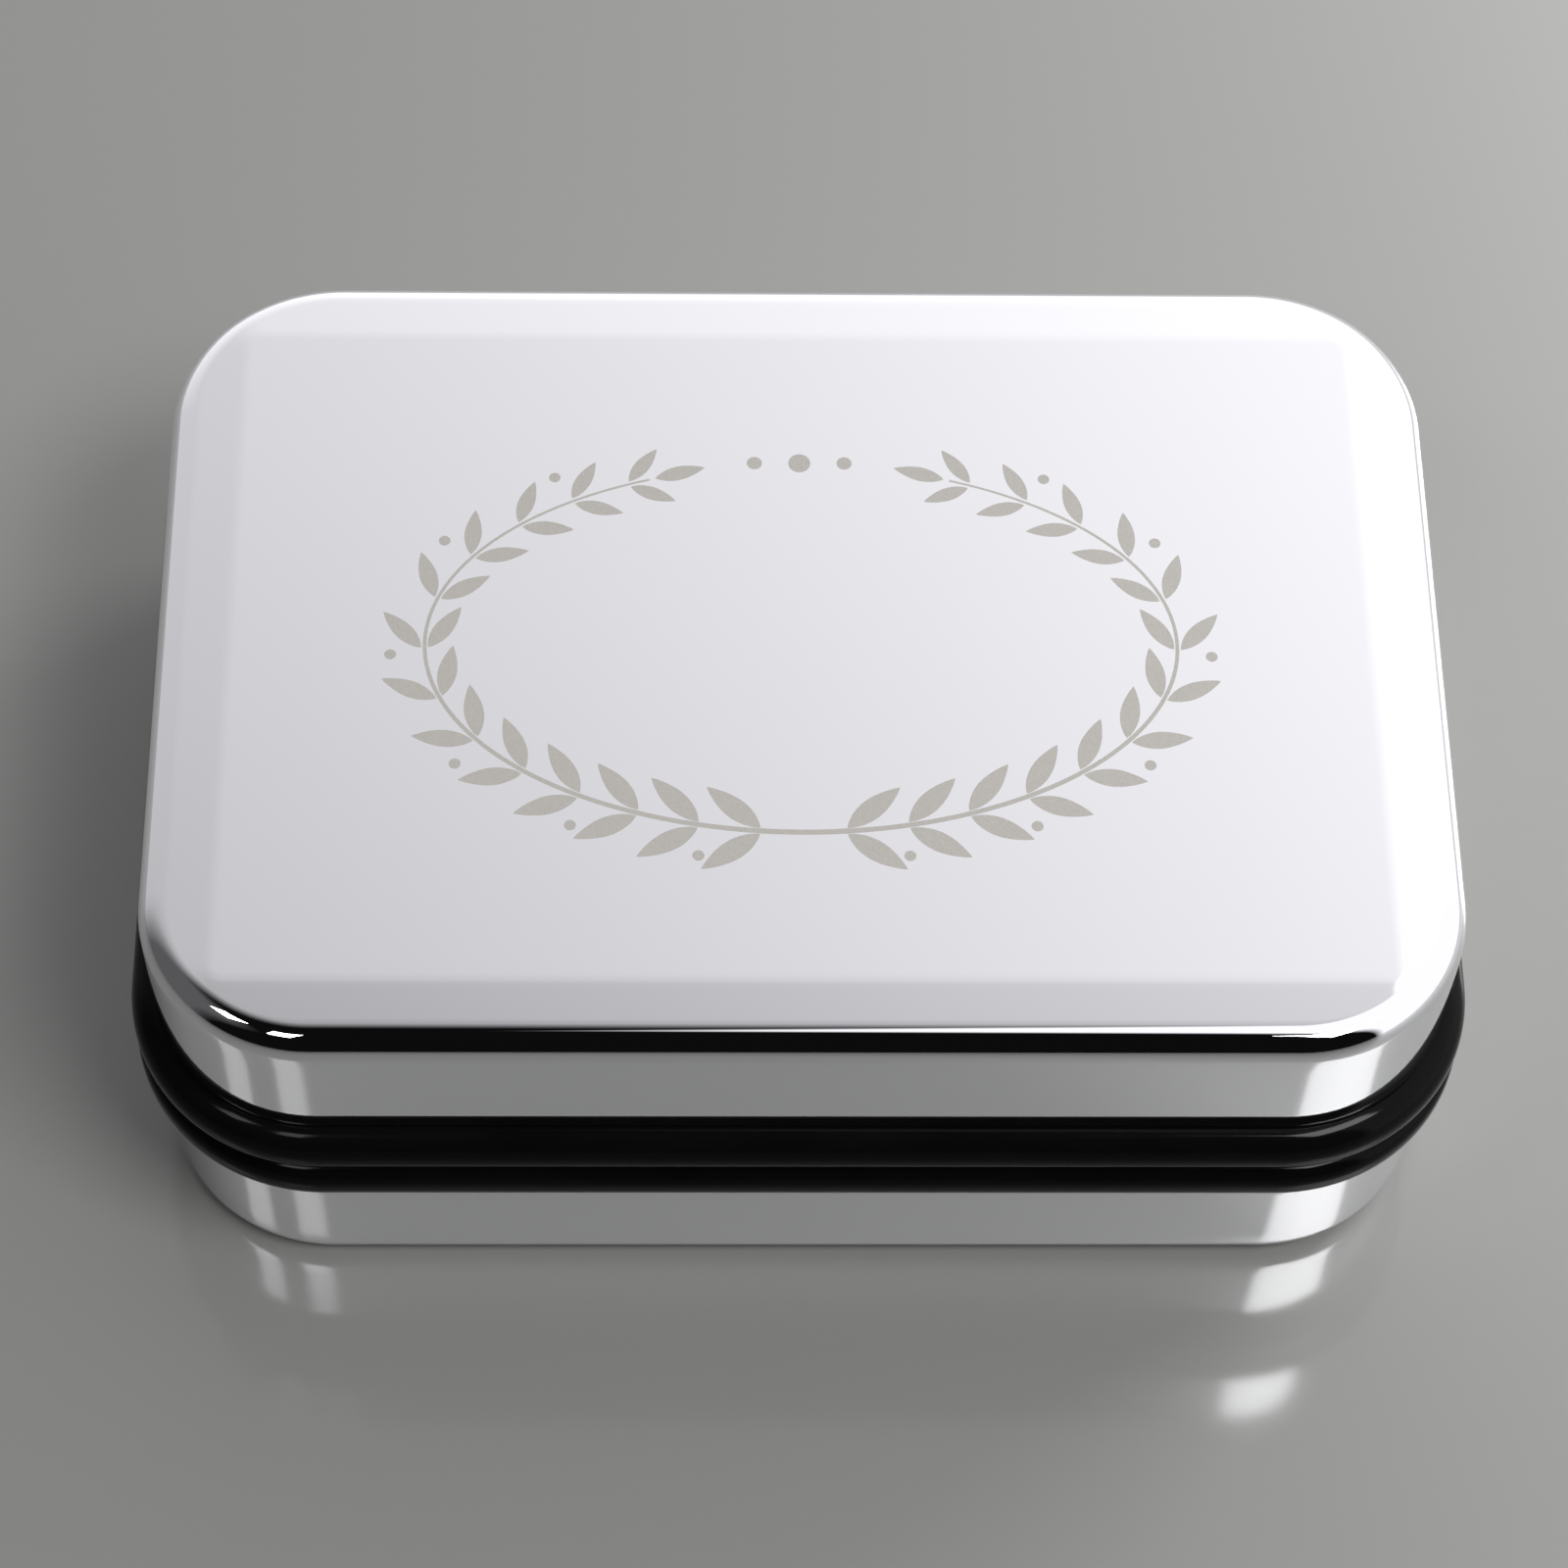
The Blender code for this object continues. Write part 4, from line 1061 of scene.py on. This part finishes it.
def studio_sky():
    """The studio round the box: a pale screen behind and over it, brighter to the right, and dark in front.

    For a direction (x, y, z) the screen's radiance is 0.17 + 1.2 x + 1.5 x^2 + 1.2 y, with x held within 0.25
    and the result from 0.05 to 1.15. It fades out as y falls from 0.42 to 0. A white side screen takes over
    where x is over 0.35 y, and ends where y is under -0.13 - 0.8 x. A dim screen stands at the far left.
    """
    world = bpy.data.worlds.new("studio")
    bpy.context.scene.world = world
    world.use_nodes = True
    tree = world.node_tree
    spot = tree.nodes.new("ShaderNodeTexCoord").outputs["Generated"]
    x, y, _ = step_node(tree, "ShaderNodeSeparateXYZ", sockets={"Vector": spot}).outputs

    def math_node(operation, first, second, third=0.0):
        sockets = {0: first, 1: second, 2: third}
        return step_node(tree, "ShaderNodeMath", operation=operation, sockets=sockets).outputs[0]

    def held(value, low, high):
        sockets = {"Value": value, "Min": low, "Max": high}
        return step_node(tree, "ShaderNodeClamp", sockets=sockets).outputs[0]

    across = held(x, -0.25, 0.25)
    lean = math_node("MULTIPLY", across, math_node("MULTIPLY_ADD", across, 1.5, 1.2))
    ramp = math_node("ADD", lean, math_node("MULTIPLY_ADD", y, 1.2, 0.17))
    behind = math_node("MULTIPLY", held(ramp, 0.05, 1.15), spread(tree, y, 0.0, 1.0, 0.0, 0.42))
    edge = math_node("MULTIPLY_ADD", y, -0.35, x)
    front = spread(tree, math_node("MULTIPLY_ADD", x, 0.8, y), 0.0, 1.0, -0.18, -0.08)
    side = math_node("MULTIPLY", spread(tree, edge, 0.0, 1.12, 0.0, 0.05), front)
    far_left = spread(tree, x, 0.1, 0.0, -0.55, -0.35)
    dim = math_node("MULTIPLY", far_left, spread(tree, y, 0.0, 1.0, -0.6, -0.4))
    level = math_node("MAXIMUM", math_node("MAXIMUM", behind, side), math_node("ADD", dim, 0.004))
    background = tree.nodes["Background"]
    background.inputs["Color"].default_value = (0.985, 0.98, 1.0, 1.0)
    tree.links.new(level, background.inputs["Strength"])


class BOX_OT_stage(bpy.types.Operator):
    """Makes the plain pale floor, the softboxes, the studio round them and the camera"""

    bl_idname = "necklace_box.stage"
    bl_label = "Stage, light and camera"

    def execute(self, context):
        settings = context.scene.box_studio
        loop = np.array([(-1, -1), (1, -1), (1, 1), (-1, 1)]) * FLOOR_HALF
        floor = grid_object("floor", [heights(loop, FLOOR_BOTTOM), heights(loop, FLOOR_TOP)])
        finish_settings = {"Roughness": 0.42, "Coat Weight": 0.6, "Coat Roughness": 0.10}
        made, _, shader, _ = finish_of("pale_floor", **finish_settings)
        shader.inputs["Base Color"].default_value = (*settings.floor, 1.0)
        settle(floor, [made])
        studio_sky()
        right, left, middle = (0.036, -0.030, 0.0), (-0.036, -0.030, 0.0), (0, 0, 0)
        far, near = 1.2, 0.26
        area_lamp("key_softbox", right, 132, 61.5, (0.50, 0.31), settings.key, far)
        area_lamp("left_strip_front", left, -156, 59, (0.18, 0.26), settings.strip, far)
        area_lamp("left_strip_side", left, -118, 59, (0.17, 0.26), settings.strip, far)
        area_lamp("low_softbox", middle, 56, 20, (0.117, 0.065), settings.low, near)
        self.add_camera(context, settings)
        context.scene.view_settings.view_transform = "Standard"
        return {"FINISHED"}

    def add_camera(self, context, settings):
        stand = (-0.008095, -0.173327, 0.299707)
        yaw, pitch, roll = (math.radians(angle) for angle in (2.392857, 58.825604, 2.187219))
        flat = math.cos(pitch)
        ahead = Vector((math.sin(yaw) * flat, math.cos(yaw) * flat, -math.sin(pitch)))
        right = Vector((math.cos(yaw), -math.sin(yaw), 0))
        above = right.cross(ahead)
        across = right * math.cos(roll) + above * math.sin(roll)
        upward = above * math.cos(roll) - right * math.sin(roll)
        camera = bpy.data.cameras.new("camera")
        camera.lens = settings.lens * 1000
        camera.sensor_width = 36.0
        camera.sensor_fit = "HORIZONTAL"
        camera.clip_start = 0.01
        obj = bpy.data.objects.new("camera", camera)
        turn = Matrix((across, upward, -ahead)).transposed().to_4x4()
        obj.matrix_world = Matrix.Translation(stand) @ turn
        context.scene.collection.objects.link(obj)
        context.scene.camera = obj


OPERATORS = (
    BOX_OT_shells,
    BOX_OT_rims,
    BOX_OT_linings,
    BOX_OT_necklace_pad,
    BOX_OT_lid_pad,
    BOX_OT_cards,
    BOX_OT_hinge,
    BOX_OT_stage,
)


class BOX_PT_panel(bpy.types.Panel):
    """Lists the box's sizes, finishes and pieces"""

    bl_idname = "BOX_PT_panel"
    bl_label = "Necklace Box"
    bl_space_type = "VIEW_3D"
    bl_region_type = "UI"
    bl_category = "Necklace Box"

    def draw(self, context):
        for section, group in SECTIONS.items():
            body = self.layout.box()
            body.label(text=group.__doc__)
            for name in group.__annotations__:
                body.prop(getattr(context.scene, section), name)
        for operator in OPERATORS:
            self.layout.operator(operator.bl_idname)


def register():
    for cls in (*SECTIONS.values(), *OPERATORS, BOX_PT_panel):
        bpy.utils.register_class(cls)
    for section, group in SECTIONS.items():
        setattr(bpy.types.Scene, section, bpy.props.PointerProperty(type=group))


def unregister():
    for section in SECTIONS:
        delattr(bpy.types.Scene, section)
    for cls in reversed((*SECTIONS.values(), *OPERATORS, BOX_PT_panel)):
        bpy.utils.unregister_class(cls)


def main():
    register()
    for operator in OPERATORS:
        group, name = operator.bl_idname.split(".")
        getattr(getattr(bpy.ops, group), name)()


if __name__ == "__main__":
    main()
